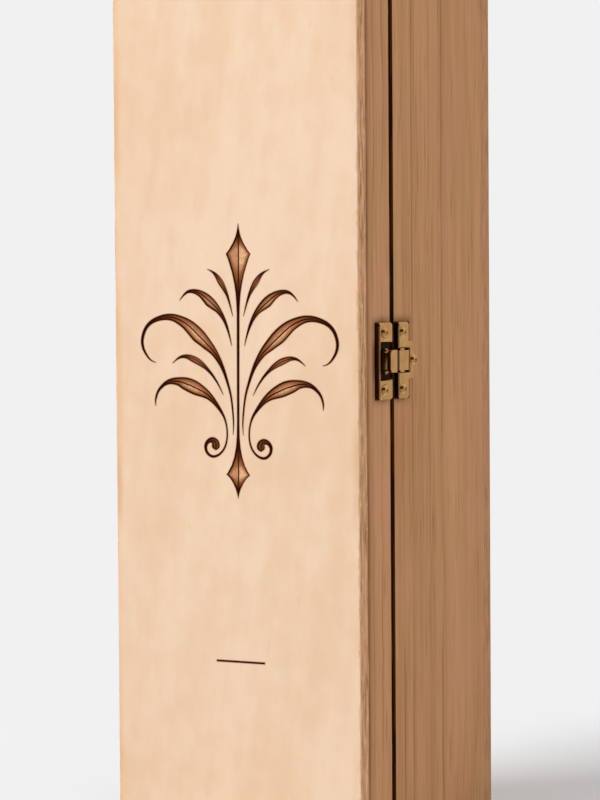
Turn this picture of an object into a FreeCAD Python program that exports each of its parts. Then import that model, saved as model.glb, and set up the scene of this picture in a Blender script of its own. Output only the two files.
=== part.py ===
# Upright wooden bottle box: a deep base tray and a shallow lid tray, finger-jointed at the corners and
# closed with plywood panels, joined by two butt hinges on the left and a brass hook clasp on the right.
# Frame: millimetres, +Z up, front panel facing -Y, clasp on +X, origin under the middle of the bottom end.
import FreeCAD
import Part
import math
import os

Vector = FreeCAD.Vector

# Carcass
BOX_WIDTH = 100.0
BOX_DEPTH = 100.0
BOX_HEIGHT = 350.0
BOARD = 9.0
PANEL = 6.0
LID_DEPTH = 22.6
EDGE_EASE = 0.5
BASE_FINGERS = 7
LID_FINGERS = 2

# Butt hinges, with leaves laid on the two rims so that their thickness sets the seam
LEAF = 1.2
LEAF_GAP = 0.6
LEAF_MARGIN = 1.0
LEAF_CORNER = 0.8
HINGE_LENGTH = 25.0
HINGE_KNUCKLES = 3
HINGE_INSET = 62.0
HINGE_STANDOFF = 0.3
HINGE_PIN_R = 0.8
HINGE_PIN_END = 0.3
KNUCKLE_GAP = 0.25
PIN_CLEARANCE = 0.05
HINGE_SCREW_INSET = 5.0

# Screws, made with flat sides
SHANK_SIDES = 12
ROUND_HEAD_SIDES = 24
SHANK_R = 1.0
SHANK_TIP = 2.0
SHANK_TIP_R = 0.3
SCREW_CLEARANCE = 0.05
COUNTERSUNK_R = 1.75
COUNTERSUNK_LENGTH = 9.0
ROUND_HEAD_R = 2.0
ROUND_SHOULDER_R = 1.62
ROUND_SHOULDER_RISE = 0.72
ROUND_CROWN_R = 1.1
ROUND_CROWN_RISE = 0.48
ROUND_LENGTH = 8.5
RECESS_WIDTH = 0.5
RECESS_DEPTH = 0.55
RECESS_SHARE = 0.74

# Clasp plates: stamped shells that stand on turned-down rims
CLASP_SPAN = 27.0
CLASP_SHEET = 0.8
CLASP_RISE = 2.0
CLASP_CORNER = 1.3
CLASP_EDGE = 0.4
CLASP_SCREW_INSET = 3.5
LATCH_LENGTH = 9.5
LATCH_SETBACK = 1.4
LATCH_SIDE_GAP = 2.5
LATCH_BAR = 1.0
LATCH_SCREW_SETBACK = 3.4
CATCH_SETBACK = 0.1
CATCH_EAR = 7.6
CATCH_BAR = 2.4
CATCH_BACK = 3.2
CATCH_SCREW_SETBACK = 2.8
LOBE_MARGIN = 1.1
LOBE_SCREW_GAP = 0.4

# Clasp lever, its pivot and the keeper that it hooks behind
PIVOT_SETBACK = 3.1
PIVOT_STANDOFF = 0.55
PIVOT_R = 0.8
PIVOT_HEAD = 0.5
PIVOT_FLARE = 0.5
PIVOT_END_PLAY = 0.1
LEVER_SHEET = 0.9
LEVER_SPAN = 7.8
LEVER_PLAY = 0.25
LEVER_NOSE = 0.6
LEVER_CORNER = 1.6
LEVER_BEND = 0.25
LEVER_HOOD = 4.4
LEVER_JOGGLE = 3.3
FLANGE_SHEET = 0.85
FLANGE_WALL = 0.9
FLANGE_HEEL_DEG = -35.0
TONGUE_SPAN = 7.0
TONGUE_PLAY = 0.6
TONGUE_CORNER = 0.5
LIP_STANDOFF = 0.5
KEEPER_SETBACK = 3.0
KEEPER_LENGTH = 3.1
KEEPER_RISE = 0.9
HOOK_PLAY = 0.3
WINDOW_GAP = 0.7

# Sizes that follow from others: barrels rolled from their sheet, and what spans or clears a neighbour
LEAF_WIDTH = BOARD - LEAF_MARGIN
HINGE_BARREL_R = HINGE_PIN_R + PIN_CLEARANCE + LEAF
HINGE_SCREW_SPACING = HINGE_LENGTH - 2 * HINGE_SCREW_INSET
CLASP_HEIGHT = BOX_HEIGHT / 2
CLASP_SCREW_SPACING = CLASP_SPAN - 2 * CLASP_SCREW_INSET
LATCH_KNUCKLE_R = PIVOT_R + PIN_CLEARANCE + CLASP_SHEET
LATCH_KNUCKLE_SPAN = LEVER_SPAN - 2 * (FLANGE_SHEET + LEVER_PLAY)
LATCH_WINDOW = LEVER_SPAN + 2 * LATCH_SIDE_GAP
PIVOT_RISE = PIVOT_STANDOFF + LATCH_KNUCKLE_R
LEVER_RISE = PIVOT_RISE + LATCH_KNUCKLE_R + LEVER_PLAY + LEVER_SHEET
FLANGE_R = PIVOT_R + PIN_CLEARANCE + FLANGE_WALL
TONGUE_RISE = KEEPER_RISE + TONGUE_PLAY + LEVER_SHEET
CATCH_WINDOW_SPAN = TONGUE_SPAN + 2 * WINDOW_GAP
CATCH_BODY_SPAN = CATCH_WINDOW_SPAN + 2 * CATCH_BAR
LOBE_R = ROUND_HEAD_R + LOBE_MARGIN

# Planes that several pieces share
LEFT_FACE = -BOX_WIDTH / 2
RIGHT_FACE = BOX_WIDTH / 2
FRONT_FACE = -BOX_DEPTH / 2
BACK_FACE = BOX_DEPTH / 2
SEAM = 2 * LEAF + LEAF_GAP
LID_RIM = FRONT_FACE + LID_DEPTH
BASE_RIM = LID_RIM + SEAM
LID_FRAME = (FRONT_FACE + PANEL, LID_RIM)
BASE_FRAME = (BASE_RIM, BACK_FACE - PANEL)

# Hinge places
HINGE_AXIS_X = LEFT_FACE - HINGE_BARREL_R - HINGE_STANDOFF
HINGE_AXIS_Y = LID_RIM + SEAM / 2
HINGE_HEIGHTS = {"lower": HINGE_INSET, "upper": BOX_HEIGHT - HINGE_INSET}
HINGE_SCREW_X = LEFT_FACE + BOARD / 2

# Clasp places
LATCH_REAR = LID_RIM - LATCH_SETBACK
LATCH_FRONT = LATCH_REAR - LATCH_LENGTH
CATCH_FRONT = BASE_RIM + CATCH_SETBACK
PIVOT_X = RIGHT_FACE + PIVOT_RISE
PIVOT_Y = LATCH_FRONT + PIVOT_SETBACK
KEEPER_REAR = CATCH_FRONT + KEEPER_SETBACK + KEEPER_LENGTH
LIP_FRONT = KEEPER_REAR + HOOK_PLAY
LIP_REAR = LIP_FRONT + LEVER_SHEET
CATCH_WINDOW_REAR = LIP_REAR + WINDOW_GAP
LOBE_Y = CATCH_WINDOW_REAR + LOBE_SCREW_GAP + ROUND_HEAD_R

# Largest difference between two places that count as the same
TOLERANCE = 1e-6


# Shape helpers

def block(x, y, z):
    """Box between pairs of limits."""
    return Part.makeBox(x[1] - x[0], y[1] - y[0], z[1] - z[0], Vector(x[0], y[0], z[0]))


def middle(centre, span):
    """Pair of limits that lie evenly about a centre."""
    return (centre - span / 2, centre + span / 2)


def solid_of(shape):
    """The one solid that a shape is made of, with its flat faces merged."""
    solids = shape.removeSplitter().Solids
    if len(solids) != 1:
        raise ValueError(f"expected one solid, found {len(solids)}")
    return solids[0]


def prism(points, along):
    """Solid made by moving a flat outline along a vector."""
    return Part.Face(Part.makePolygon(points + points[:1])).extrude(along)


def edges_along(shape, direction):
    """Straight edges of a shape that run in a direction."""
    found = []
    for edge in shape.Edges:
        if isinstance(edge.Curve, Part.Line) or isinstance(edge.Curve, Part.LineSegment):
            run = edge.Vertexes[-1].Point - edge.Vertexes[0].Point
            if run.cross(direction).Length < TOLERANCE * run.Length:
                found.append(edge)
    return found


def edges_at(shape, places):
    """Upright edges of a shape that stand at given x and y places."""
    found = []
    for edge in edges_along(shape, Vector(0, 0, 1)):
        spot = edge.Vertexes[0].Point
        if any(abs(spot.x - x) < TOLERANCE and abs(spot.y - y) < TOLERANCE for x, y in places):
            found.append(edge)
    return found


def all_at(low, high, place):
    """Whether a stretch from low to high lies wholly at one place."""
    return abs(low - place) < TOLERANCE and abs(high - place) < TOLERANCE


# Wooden pieces

def eased_tray(y, rim):
    """Outer form of one tray, with the arris taken off every edge but those of the sawn rim."""
    tray = block((LEFT_FACE, RIGHT_FACE), y, (0, BOX_HEIGHT))
    outer = [e for e in tray.Edges if not all_at(e.BoundBox.YMin, e.BoundBox.YMax, rim)]
    return tray.makeChamfer(EDGE_EASE, outer)


def finger_spans(frame, count, first):
    """Every second finger of a corner joint, as limits in depth."""
    pitch = (frame[1] - frame[0]) / count
    return [(frame[0] + i * pitch, frame[0] + (i + 1) * pitch) for i in range(first, count, 2)]


def side_board(tray, frame, count, x):
    """Long upright board with fingers at both ends, notched where the end boards' fingers pass."""
    board = block(x, frame, (0, BOX_HEIGHT))
    for y in finger_spans(frame, count, 1):
        board = board.cut(block(x, y, (0, BOARD)))
        board = board.cut(block(x, y, (BOX_HEIGHT - BOARD, BOX_HEIGHT)))
    return board.common(tray)


def end_board(tray, frame, count, z):
    """Short level board at the top or bottom, notched where the side boards' fingers pass."""
    board = block((LEFT_FACE, RIGHT_FACE), frame, z)
    for y in finger_spans(frame, count, 0):
        board = board.cut(block((LEFT_FACE, LEFT_FACE + BOARD), y, z))
        board = board.cut(block((RIGHT_FACE - BOARD, RIGHT_FACE), y, z))
    return solid_of(board.common(tray))


def panel(tray, y):
    """Plywood panel that covers the whole front or back."""
    return solid_of(block((LEFT_FACE, RIGHT_FACE), y, (0, BOX_HEIGHT)).common(tray))


def drilled(board, screws, hole):
    """Board or plate with a hole for each screw that goes through it."""
    return solid_of(board.cut(screw_set(hole, screws)))


# Screws: each is given by a point on its axis at its head, and the way that its head faces

def hinge_screws(rim, way):
    """Places of one rim's hinge screws, whose heads lie flush in the leaves."""
    head = rim + way.y * LEAF
    spots = []
    for height in HINGE_HEIGHTS.values():
        for z in middle(height, HINGE_SCREW_SPACING):
            spots.append((Vector(HINGE_SCREW_X, head, z), way))
    return spots


def plate_screws(y):
    """Places of the pair of screws in a clasp plate's ears."""
    x = RIGHT_FACE + CLASP_RISE
    return [(Vector(x, y, z), Vector(1, 0, 0)) for z in middle(CLASP_HEIGHT, CLASP_SCREW_SPACING)]


BASE_HINGE_SCREWS = hinge_screws(BASE_RIM, Vector(0, -1, 0))
LID_HINGE_SCREWS = hinge_screws(LID_RIM, Vector(0, 1, 0))
LATCH_SCREWS = plate_screws(LATCH_FRONT + LATCH_SCREW_SETBACK)
LOBE_SCREW = (Vector(RIGHT_FACE + CLASP_RISE, LOBE_Y, CLASP_HEIGHT), Vector(1, 0, 0))
CATCH_SCREWS = plate_screws(CATCH_FRONT + CATCH_SCREW_SETBACK) + [LOBE_SCREW]


def faceted(rings, sides):
    """Solid with flat sides through level rings, each given as a radius and a height."""
    turns = [2 * math.pi * i / sides for i in range(sides + 1)]
    wires = []
    for radius, height in rings:
        corners = [Vector(radius * math.cos(turn), radius * math.sin(turn), height) for turn in turns]
        wires.append(Part.makePolygon(corners))
    return Part.makeLoft(wires, True, True)


def shank_rings(length, clearance):
    """Rings of a screw's shank and tip, or of the hole that clears them."""
    return [(SHANK_R + clearance, SHANK_TIP - length), (SHANK_TIP_R + clearance, -length - clearance)]


def cross_recess(top, radius):
    """Cross-shaped driver recess below the flat top of a screw head."""
    reach = radius * RECESS_SHARE
    bar = block((-reach, reach), middle(0, RECESS_WIDTH), (top - RECESS_DEPTH, top + RECESS_DEPTH))
    other = block(middle(0, RECESS_WIDTH), (-reach, reach), (top - RECESS_DEPTH, top + RECESS_DEPTH))
    return bar.fuse(other)


def countersunk_form(clearance):
    """Flat-headed wood screw, or its hole, with its head's top at the origin, driven along -Z."""
    head = [(COUNTERSUNK_R + clearance, 0), (SHANK_R + clearance, SHANK_R - COUNTERSUNK_R)]
    return faceted(head + shank_rings(COUNTERSUNK_LENGTH, clearance), SHANK_SIDES)


def countersunk_screw():
    """Flat-headed wood screw for the hinges."""
    return solid_of(countersunk_form(0).cut(cross_recess(0, COUNTERSUNK_R)))


def round_screw():
    """Round-headed wood screw with the underside of its head at the origin, driven along -Z."""
    top = ROUND_SHOULDER_RISE + ROUND_CROWN_RISE
    rings = [(ROUND_HEAD_R, 0), (ROUND_SHOULDER_R, ROUND_SHOULDER_RISE), (ROUND_CROWN_R, top)]
    head = faceted(rings, ROUND_HEAD_SIDES).cut(cross_recess(top, ROUND_CROWN_R))
    return solid_of(head.fuse(round_shank(0)))


def round_shank(clearance):
    """Shank of a round-headed screw, or its hole."""
    return faceted([(SHANK_R + clearance, 0)] + shank_rings(ROUND_LENGTH, clearance), SHANK_SIDES)


def screw_set(screw, spots):
    """Copies of one screw, each at its place."""
    placed = []
    for place, way in spots:
        turn = FreeCAD.Rotation(Vector(0, 0, 1), way)
        copy = screw.copy()
        copy.Placement = FreeCAD.Placement(place, turn)
        placed.append(copy)
    return Part.makeCompound(placed)


# Hinges

def knuckle_spans(height, outer):
    """Level limits of one leaf's knuckles: the two outer ones, or the middle one."""
    low, high = middle(height, HINGE_LENGTH)
    knuckle = HINGE_LENGTH / HINGE_KNUCKLES
    half_gap = KNUCKLE_GAP / 2
    if outer:
        return [(low, low + knuckle - half_gap), (high - knuckle + half_gap, high)]
    return [(low + knuckle + half_gap, high - knuckle - half_gap)]


def hinge_leaf(height, face, way, outer, screws):
    """Hinge leaf on a rim: a plate with rounded corners, its barrel and its countersunk holes."""
    low, high = middle(height, HINGE_LENGTH)
    y = (min(face, face + way * LEAF), max(face, face + way * LEAF))
    plate = block((LEFT_FACE, LEFT_FACE + LEAF_WIDTH), y, (low, high))
    corners = [e for e in edges_along(plate, Vector(0, 1, 0)) if e.BoundBox.XMin > LEFT_FACE]
    leaf = plate.makeFillet(LEAF_CORNER, corners)
    for z in knuckle_spans(height, outer):
        base = Vector(HINGE_AXIS_X, HINGE_AXIS_Y, z[0])
        leaf = leaf.fuse(Part.makeCylinder(HINGE_BARREL_R, z[1] - z[0], base))
        leaf = leaf.fuse(block((HINGE_AXIS_X, LEFT_FACE), y, z))
    bore = Vector(HINGE_AXIS_X, HINGE_AXIS_Y, low)
    leaf = leaf.cut(Part.makeCylinder(HINGE_PIN_R + PIN_CLEARANCE, HINGE_LENGTH, bore))
    own_screws = [(place, facing) for place, facing in screws if low < place.z < high]
    return solid_of(leaf.cut(screw_set(countersunk_form(SCREW_CLEARANCE), own_screws)))


def hinge_pin(height):
    """Plain pin of one hinge, a little longer than its barrel."""
    low, high = middle(height, HINGE_LENGTH + 2 * HINGE_PIN_END)
    return Part.makeCylinder(HINGE_PIN_R, high - low, Vector(HINGE_AXIS_X, HINGE_AXIS_Y, low))


# Clasp

def clasp_plate(outline):
    """Stamped plate on the box's right side, from an outline of depth and height points."""
    points = [Vector(RIGHT_FACE, y, CLASP_HEIGHT + z) for y, z in outline]
    return prism(points, Vector(CLASP_RISE, 0, 0))


def rounded_plate(plate, outer_limit):
    """Plate with its far corners rounded and the rim of its top face bevelled."""
    corners = [e for e in edges_along(plate, Vector(1, 0, 0))
               if abs(e.BoundBox.ZMin - CLASP_HEIGHT) > outer_limit]
    plate = plate.makeFillet(CLASP_CORNER, corners)
    top = RIGHT_FACE + CLASP_RISE
    rim = [e for e in plate.Edges if all_at(e.BoundBox.XMin, e.BoundBox.XMax, top)]
    return plate.makeChamfer(CLASP_EDGE, rim)


def ear_hollows(front, rear, inner):
    """Hollows under a plate's two ears, inside their turned-down rims."""
    x = (RIGHT_FACE, RIGHT_FACE + CLASP_RISE - CLASP_SHEET)
    y = (front + CLASP_SHEET, rear - CLASP_SHEET)
    reach = (inner + CLASP_SHEET, CLASP_SPAN / 2 - CLASP_SHEET)
    upper = block(x, y, (CLASP_HEIGHT + reach[0], CLASP_HEIGHT + reach[1]))
    lower = block(x, y, (CLASP_HEIGHT - reach[1], CLASP_HEIGHT - reach[0]))
    return upper.fuse(lower)


def latch_plate():
    """Lid half of the clasp: two ears, the bar that joins them and the rolled knuckle for the lever."""
    ear = CLASP_SPAN / 2
    window = LATCH_WINDOW / 2
    bar_rear = LATCH_FRONT + LATCH_BAR
    plate = clasp_plate([(LATCH_FRONT, -ear), (LATCH_REAR, -ear), (LATCH_REAR, -window),
                         (bar_rear, -window), (bar_rear, window), (LATCH_REAR, window),
                         (LATCH_REAR, ear), (LATCH_FRONT, ear)])
    plate = rounded_plate(plate, window + CLASP_CORNER)
    plate = plate.cut(ear_hollows(LATCH_FRONT, LATCH_REAR, window))
    low, high = middle(CLASP_HEIGHT, LATCH_KNUCKLE_SPAN)
    tab_x = PIVOT_X - LATCH_KNUCKLE_R
    tab = block((tab_x, tab_x + CLASP_SHEET), (LATCH_FRONT + LATCH_BAR / 2, PIVOT_Y), (low, high))
    knuckle = Part.makeCylinder(LATCH_KNUCKLE_R, high - low, Vector(PIVOT_X, PIVOT_Y, low))
    bore = Part.makeCylinder(PIVOT_R + PIN_CLEARANCE, high - low, Vector(PIVOT_X, PIVOT_Y, low))
    return drilled(plate.fuse([tab, knuckle]).cut(bore), LATCH_SCREWS, round_shank(SCREW_CLEARANCE))


def latch_pin():
    """Rivet that the lever turns on, held in the latch plate's knuckle."""
    low, high = middle(CLASP_HEIGHT, LEVER_SPAN + 2 * PIVOT_END_PLAY)
    shank = Part.makeCylinder(PIVOT_R, high - low, Vector(PIVOT_X, PIVOT_Y, low))
    top = Part.makeCone(PIVOT_R + PIVOT_FLARE, PIVOT_R, PIVOT_HEAD, Vector(PIVOT_X, PIVOT_Y, high))
    bottom = Part.makeCone(PIVOT_R + PIVOT_FLARE, PIVOT_R, PIVOT_HEAD, Vector(PIVOT_X, PIVOT_Y, low),
                           Vector(0, 0, -1))
    return solid_of(shank.fuse([top, bottom]))


def lever_profile(hood_front, hood_rear, tongue_front):
    """Side form of the lever's bent sheet: hood, joggle over the seam, tongue and hooked lip."""
    top = RIGHT_FACE + LEVER_RISE
    tongue = RIGHT_FACE + TONGUE_RISE
    lip = RIGHT_FACE + LIP_STANDOFF
    mitre = LEVER_SHEET * math.tan(math.atan2(top - tongue, tongue_front - hood_rear) / 2)
    outer_bends = [(top, hood_rear), (tongue - LEVER_SHEET, tongue_front - mitre), (tongue, LIP_REAR)]
    inner_bends = [(top - LEVER_SHEET, hood_rear - mitre), (tongue, tongue_front),
                   (tongue - LEVER_SHEET, LIP_FRONT)]
    outer_side = [(top, hood_front), outer_bends[0], inner_bends[1], outer_bends[2], (lip, LIP_REAR)]
    inner_side = [(lip, LIP_FRONT), inner_bends[2], outer_bends[1], inner_bends[0],
                  (top - LEVER_SHEET, hood_front)]
    low, high = middle(CLASP_HEIGHT, LEVER_SPAN)
    sheet = prism([Vector(x, y, low) for x, y in outer_side + inner_side], Vector(0, 0, high - low))
    sheet = sheet.makeFillet(LEVER_BEND + LEVER_SHEET, edges_at(sheet, outer_bends))
    return sheet.makeFillet(LEVER_BEND, edges_at(sheet, inner_bends))


def lever_plan(hood_front, tongue_front):
    """Outline of the lever as seen from the side of the box, with a rounded nose and a narrower tongue."""
    half = LEVER_SPAN / 2
    tongue_half = TONGUE_SPAN / 2
    outline = [(hood_front, -half), (tongue_front, -half), (tongue_front, -tongue_half),
               (LIP_REAR, -tongue_half), (LIP_REAR, tongue_half), (tongue_front, tongue_half),
               (tongue_front, half), (hood_front, half)]
    points = [Vector(RIGHT_FACE, y, CLASP_HEIGHT + z) for y, z in outline]
    blank = prism(points, Vector(LEVER_RISE, 0, 0))
    across = edges_along(blank, Vector(1, 0, 0))
    nose = [e for e in across if e.BoundBox.YMax < hood_front + TOLERANCE]
    nosed = blank.makeFillet(LEVER_CORNER, nose)
    tip = [e for e in edges_along(nosed, Vector(1, 0, 0)) if e.BoundBox.YMin > LIP_REAR - TOLERANCE]
    return nosed.makeFillet(TONGUE_CORNER, tip)


def lever_strip():
    """Bent sheet of the lever, cut to its outline."""
    hood_front = PIVOT_Y - LEVER_NOSE
    hood_rear = PIVOT_Y + LEVER_HOOD
    tongue_front = hood_rear + LEVER_JOGGLE
    return lever_profile(hood_front, hood_rear, tongue_front).common(lever_plan(hood_front, tongue_front))


def lever_flange(z):
    """Side cheek of the lever, bent down from the hood and rounded about the pivot."""
    under = RIGHT_FACE + LEVER_RISE - LEVER_SHEET / 2
    hood_rear = PIVOT_Y + LEVER_HOOD
    heel = math.radians(FLANGE_HEEL_DEG)
    cheek = [(under, PIVOT_Y), (under, hood_rear - LEVER_SHEET),
             (PIVOT_X + FLANGE_R * math.sin(heel), PIVOT_Y + FLANGE_R * math.cos(heel)), (PIVOT_X, PIVOT_Y)]
    web = prism([Vector(x, y, z[0]) for x, y in cheek], Vector(0, 0, z[1] - z[0]))
    return web.fuse(Part.makeCylinder(FLANGE_R, z[1] - z[0], Vector(PIVOT_X, PIVOT_Y, z[0])))


def latch_lever():
    """Lever that swings on the latch plate and hooks behind the keeper of the catch plate."""
    low, high = middle(CLASP_HEIGHT, LEVER_SPAN)
    flanges = [lever_flange((low, low + FLANGE_SHEET)), lever_flange((high - FLANGE_SHEET, high))]
    bore = Part.makeCylinder(PIVOT_R + PIN_CLEARANCE, high - low, Vector(PIVOT_X, PIVOT_Y, low))
    return solid_of(lever_strip().fuse(flanges).cut(bore))


def catch_plate():
    """Base half of the clasp: two ears, a body with a window for the tongue, a keeper and a screw lobe."""
    ear = CLASP_SPAN / 2
    body = CATCH_BODY_SPAN / 2
    window = CATCH_WINDOW_SPAN / 2
    ear_rear = CATCH_FRONT + CATCH_EAR
    body_rear = CATCH_WINDOW_REAR + CATCH_BACK
    plate = clasp_plate([(CATCH_FRONT, -ear), (ear_rear, -ear), (ear_rear, -body), (body_rear, -body),
                         (body_rear, body), (ear_rear, body), (ear_rear, ear), (CATCH_FRONT, ear),
                         (CATCH_FRONT, window), (CATCH_WINDOW_REAR, window), (CATCH_WINDOW_REAR, -window),
                         (CATCH_FRONT, -window)])
    lobe = Part.makeCylinder(LOBE_R, CLASP_RISE, Vector(RIGHT_FACE, LOBE_Y, CLASP_HEIGHT),
                             Vector(1, 0, 0))
    spare = block((RIGHT_FACE, RIGHT_FACE + CLASP_RISE), (CATCH_FRONT, CATCH_WINDOW_REAR),
                  middle(CLASP_HEIGHT, CATCH_WINDOW_SPAN))
    plate = solid_of(plate.fuse(lobe).cut(spare))
    plate = rounded_plate(plate, body + CLASP_CORNER)
    plate = plate.cut(ear_hollows(CATCH_FRONT, ear_rear, body))
    keeper = block((RIGHT_FACE, RIGHT_FACE + KEEPER_RISE), (CATCH_FRONT + KEEPER_SETBACK, KEEPER_REAR),
                   middle(CLASP_HEIGHT, CATCH_WINDOW_SPAN + CLASP_SHEET))
    return drilled(plate.fuse(keeper), CATCH_SCREWS, round_shank(SCREW_CLEARANCE))


def wooden_parts():
    """The two trays, each of four finger-jointed boards and a panel."""
    lid = eased_tray((FRONT_FACE, LID_RIM), LID_RIM)
    base = eased_tray((BASE_RIM, BACK_FACE), BASE_RIM)
    left = (LEFT_FACE, LEFT_FACE + BOARD)
    right = (RIGHT_FACE - BOARD, RIGHT_FACE)
    top = (BOX_HEIGHT - BOARD, BOX_HEIGHT)
    bottom = (0, BOARD)
    return {
        "front_panel": panel(lid, (FRONT_FACE, LID_FRAME[0])),
        "lid_left_rail": drilled(side_board(lid, LID_FRAME, LID_FINGERS, left),
                                 LID_HINGE_SCREWS, countersunk_form(SCREW_CLEARANCE)),
        "lid_right_rail": drilled(side_board(lid, LID_FRAME, LID_FINGERS, right),
                                  LATCH_SCREWS, round_shank(SCREW_CLEARANCE)),
        "lid_top_rail": end_board(lid, LID_FRAME, LID_FINGERS, top),
        "lid_bottom_rail": end_board(lid, LID_FRAME, LID_FINGERS, bottom),
        "back_panel": panel(base, (BASE_FRAME[1], BACK_FACE)),
        "base_left_side": drilled(side_board(base, BASE_FRAME, BASE_FINGERS, left),
                                  BASE_HINGE_SCREWS, countersunk_form(SCREW_CLEARANCE)),
        "base_right_side": drilled(side_board(base, BASE_FRAME, BASE_FINGERS, right),
                                   CATCH_SCREWS, round_shank(SCREW_CLEARANCE)),
        "base_top_end": end_board(base, BASE_FRAME, BASE_FINGERS, top),
        "base_bottom_end": end_board(base, BASE_FRAME, BASE_FINGERS, bottom),
    }


def hinge_parts():
    """Both hinges and their screws."""
    parts = {
        "hinge_base_screws": screw_set(countersunk_screw(), BASE_HINGE_SCREWS),
        "hinge_lid_screws": screw_set(countersunk_screw(), LID_HINGE_SCREWS),
    }
    for name, height in HINGE_HEIGHTS.items():
        parts[f"{name}_hinge_base_leaf"] = hinge_leaf(height, BASE_RIM, -1, True, BASE_HINGE_SCREWS)
        parts[f"{name}_hinge_lid_leaf"] = hinge_leaf(height, LID_RIM, 1, False, LID_HINGE_SCREWS)
        parts[f"{name}_hinge_pin"] = hinge_pin(height)
    return parts


def clasp_parts():
    """Both clasp plates, the lever with its pin, and the screws."""
    return {
        "latch_plate": latch_plate(),
        "latch_pin": latch_pin(),
        "latch_lever": latch_lever(),
        "latch_screws": screw_set(round_screw(), LATCH_SCREWS),
        "catch_plate": catch_plate(),
        "catch_screws": screw_set(round_screw(), CATCH_SCREWS),
    }


def main():
    os.makedirs("parts", exist_ok=True)
    for name, shape in {**wooden_parts(), **hinge_parts(), **clasp_parts()}.items():
        shape.exportStep(f"parts/{name}.step")
        print(f"{name}: {len(shape.Solids)} solid, {shape.Volume:.1f} mm3, valid {shape.isValid()}")


main()
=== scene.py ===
"""Looks of the upright wooden bottle box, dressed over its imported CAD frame.

Boards, hinges and clasp keep their CAD shapes and get softened edges and procedural finishes. The front panel
and the round-headed screws are modelled anew, so that the engraved flourish is a real recess in the wood and
the screw heads are round.
"""

import logging
import math
from dataclasses import dataclass, field, replace
from enum import Enum
from typing import Dict, List, Optional, Sequence, Tuple, Union

import bmesh
import bpy
from mathutils import Matrix, Vector
from mathutils.geometry import delaunay_2d_cdt


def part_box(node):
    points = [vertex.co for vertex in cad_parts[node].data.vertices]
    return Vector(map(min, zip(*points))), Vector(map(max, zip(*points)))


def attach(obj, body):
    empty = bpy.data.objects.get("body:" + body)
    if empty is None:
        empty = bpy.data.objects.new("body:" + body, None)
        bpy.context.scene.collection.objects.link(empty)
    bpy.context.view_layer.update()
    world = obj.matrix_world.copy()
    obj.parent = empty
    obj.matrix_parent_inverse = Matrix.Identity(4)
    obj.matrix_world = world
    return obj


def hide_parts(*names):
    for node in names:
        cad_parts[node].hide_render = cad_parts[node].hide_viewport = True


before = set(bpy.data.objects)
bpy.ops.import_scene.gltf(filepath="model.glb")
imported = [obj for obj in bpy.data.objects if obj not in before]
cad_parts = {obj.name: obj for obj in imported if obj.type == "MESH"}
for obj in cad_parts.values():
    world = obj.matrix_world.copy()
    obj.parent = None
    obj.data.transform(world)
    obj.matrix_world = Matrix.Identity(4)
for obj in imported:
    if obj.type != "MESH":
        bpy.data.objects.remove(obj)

LOG = logging.getLogger("bottle_box")
MM = 0.001

# Numbers of a Mix node's colour inputs and of its colour output.
MIX_FIRST, MIX_SECOND, MIX_RESULT = 6, 7, 2
# Kind of triangulation that keeps only what lies inside the given faces.
INSIDE_FACES = 1

Colour = Tuple[float, float, float]
Triple = Tuple[float, float, float]
Pair = Tuple[float, float]
Socket = bpy.types.NodeSocket
Outputs = bpy.types.bpy_prop_collection
Feed = Union[float, Sequence[float], Socket]


class Grain(Enum):
    """Which way the wood's fibres run, as the turn that brings them upright."""

    UPRIGHT = (0.0, 0.0, 0.0)
    LEVEL = (0.0, -math.pi / 2, 0.0)


class Flow(Enum):
    """How a stroke runs through its points."""

    CURVED = "curved"
    STRAIGHT = "straight"


class Swell(Enum):
    """Which side of its line a stroke's width lies on, looking along the stroke."""

    EVEN = 0.0
    RIGHT = 1.0
    LEFT = -1.0

    def mirrored(self) -> "Swell":
        """The side that it becomes in a mirrored stroke."""
        return Swell(-self.value)


class Slot(Enum):
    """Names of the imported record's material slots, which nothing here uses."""

    PLYWOOD = "plywood"
    BRASS = "brass"


@dataclass(frozen=True)
class Noise:
    """Noise: lumps per metre across and along the fibres, number of finer layers and their weight."""

    across: float
    along: float
    layers: float = 2.0
    rough: float = 0.5


@dataclass(frozen=True)
class Step:
    """Smooth step of a number: where it begins and ends, and what it gives below and above."""

    low: float
    high: float
    below: float = 0.0
    above: float = 1.0


def fall(low: float, high: float, top: float = 1.0) -> Step:
    """Smooth step that goes down to 0."""
    return Step(low, high, top, 0.0)


@dataclass(frozen=True)
class Tint:
    """Colour that shows where a noise passes a step."""

    colour: Colour
    noise: Noise
    step: Step


@dataclass(frozen=True)
class Surface:
    """Bump and shine of a finish: the bump's depth and weight, specular level and metalness."""

    bump_depth: float
    bump_weight: float
    gloss: float = 0.5
    metal: float = 0.0


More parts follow.
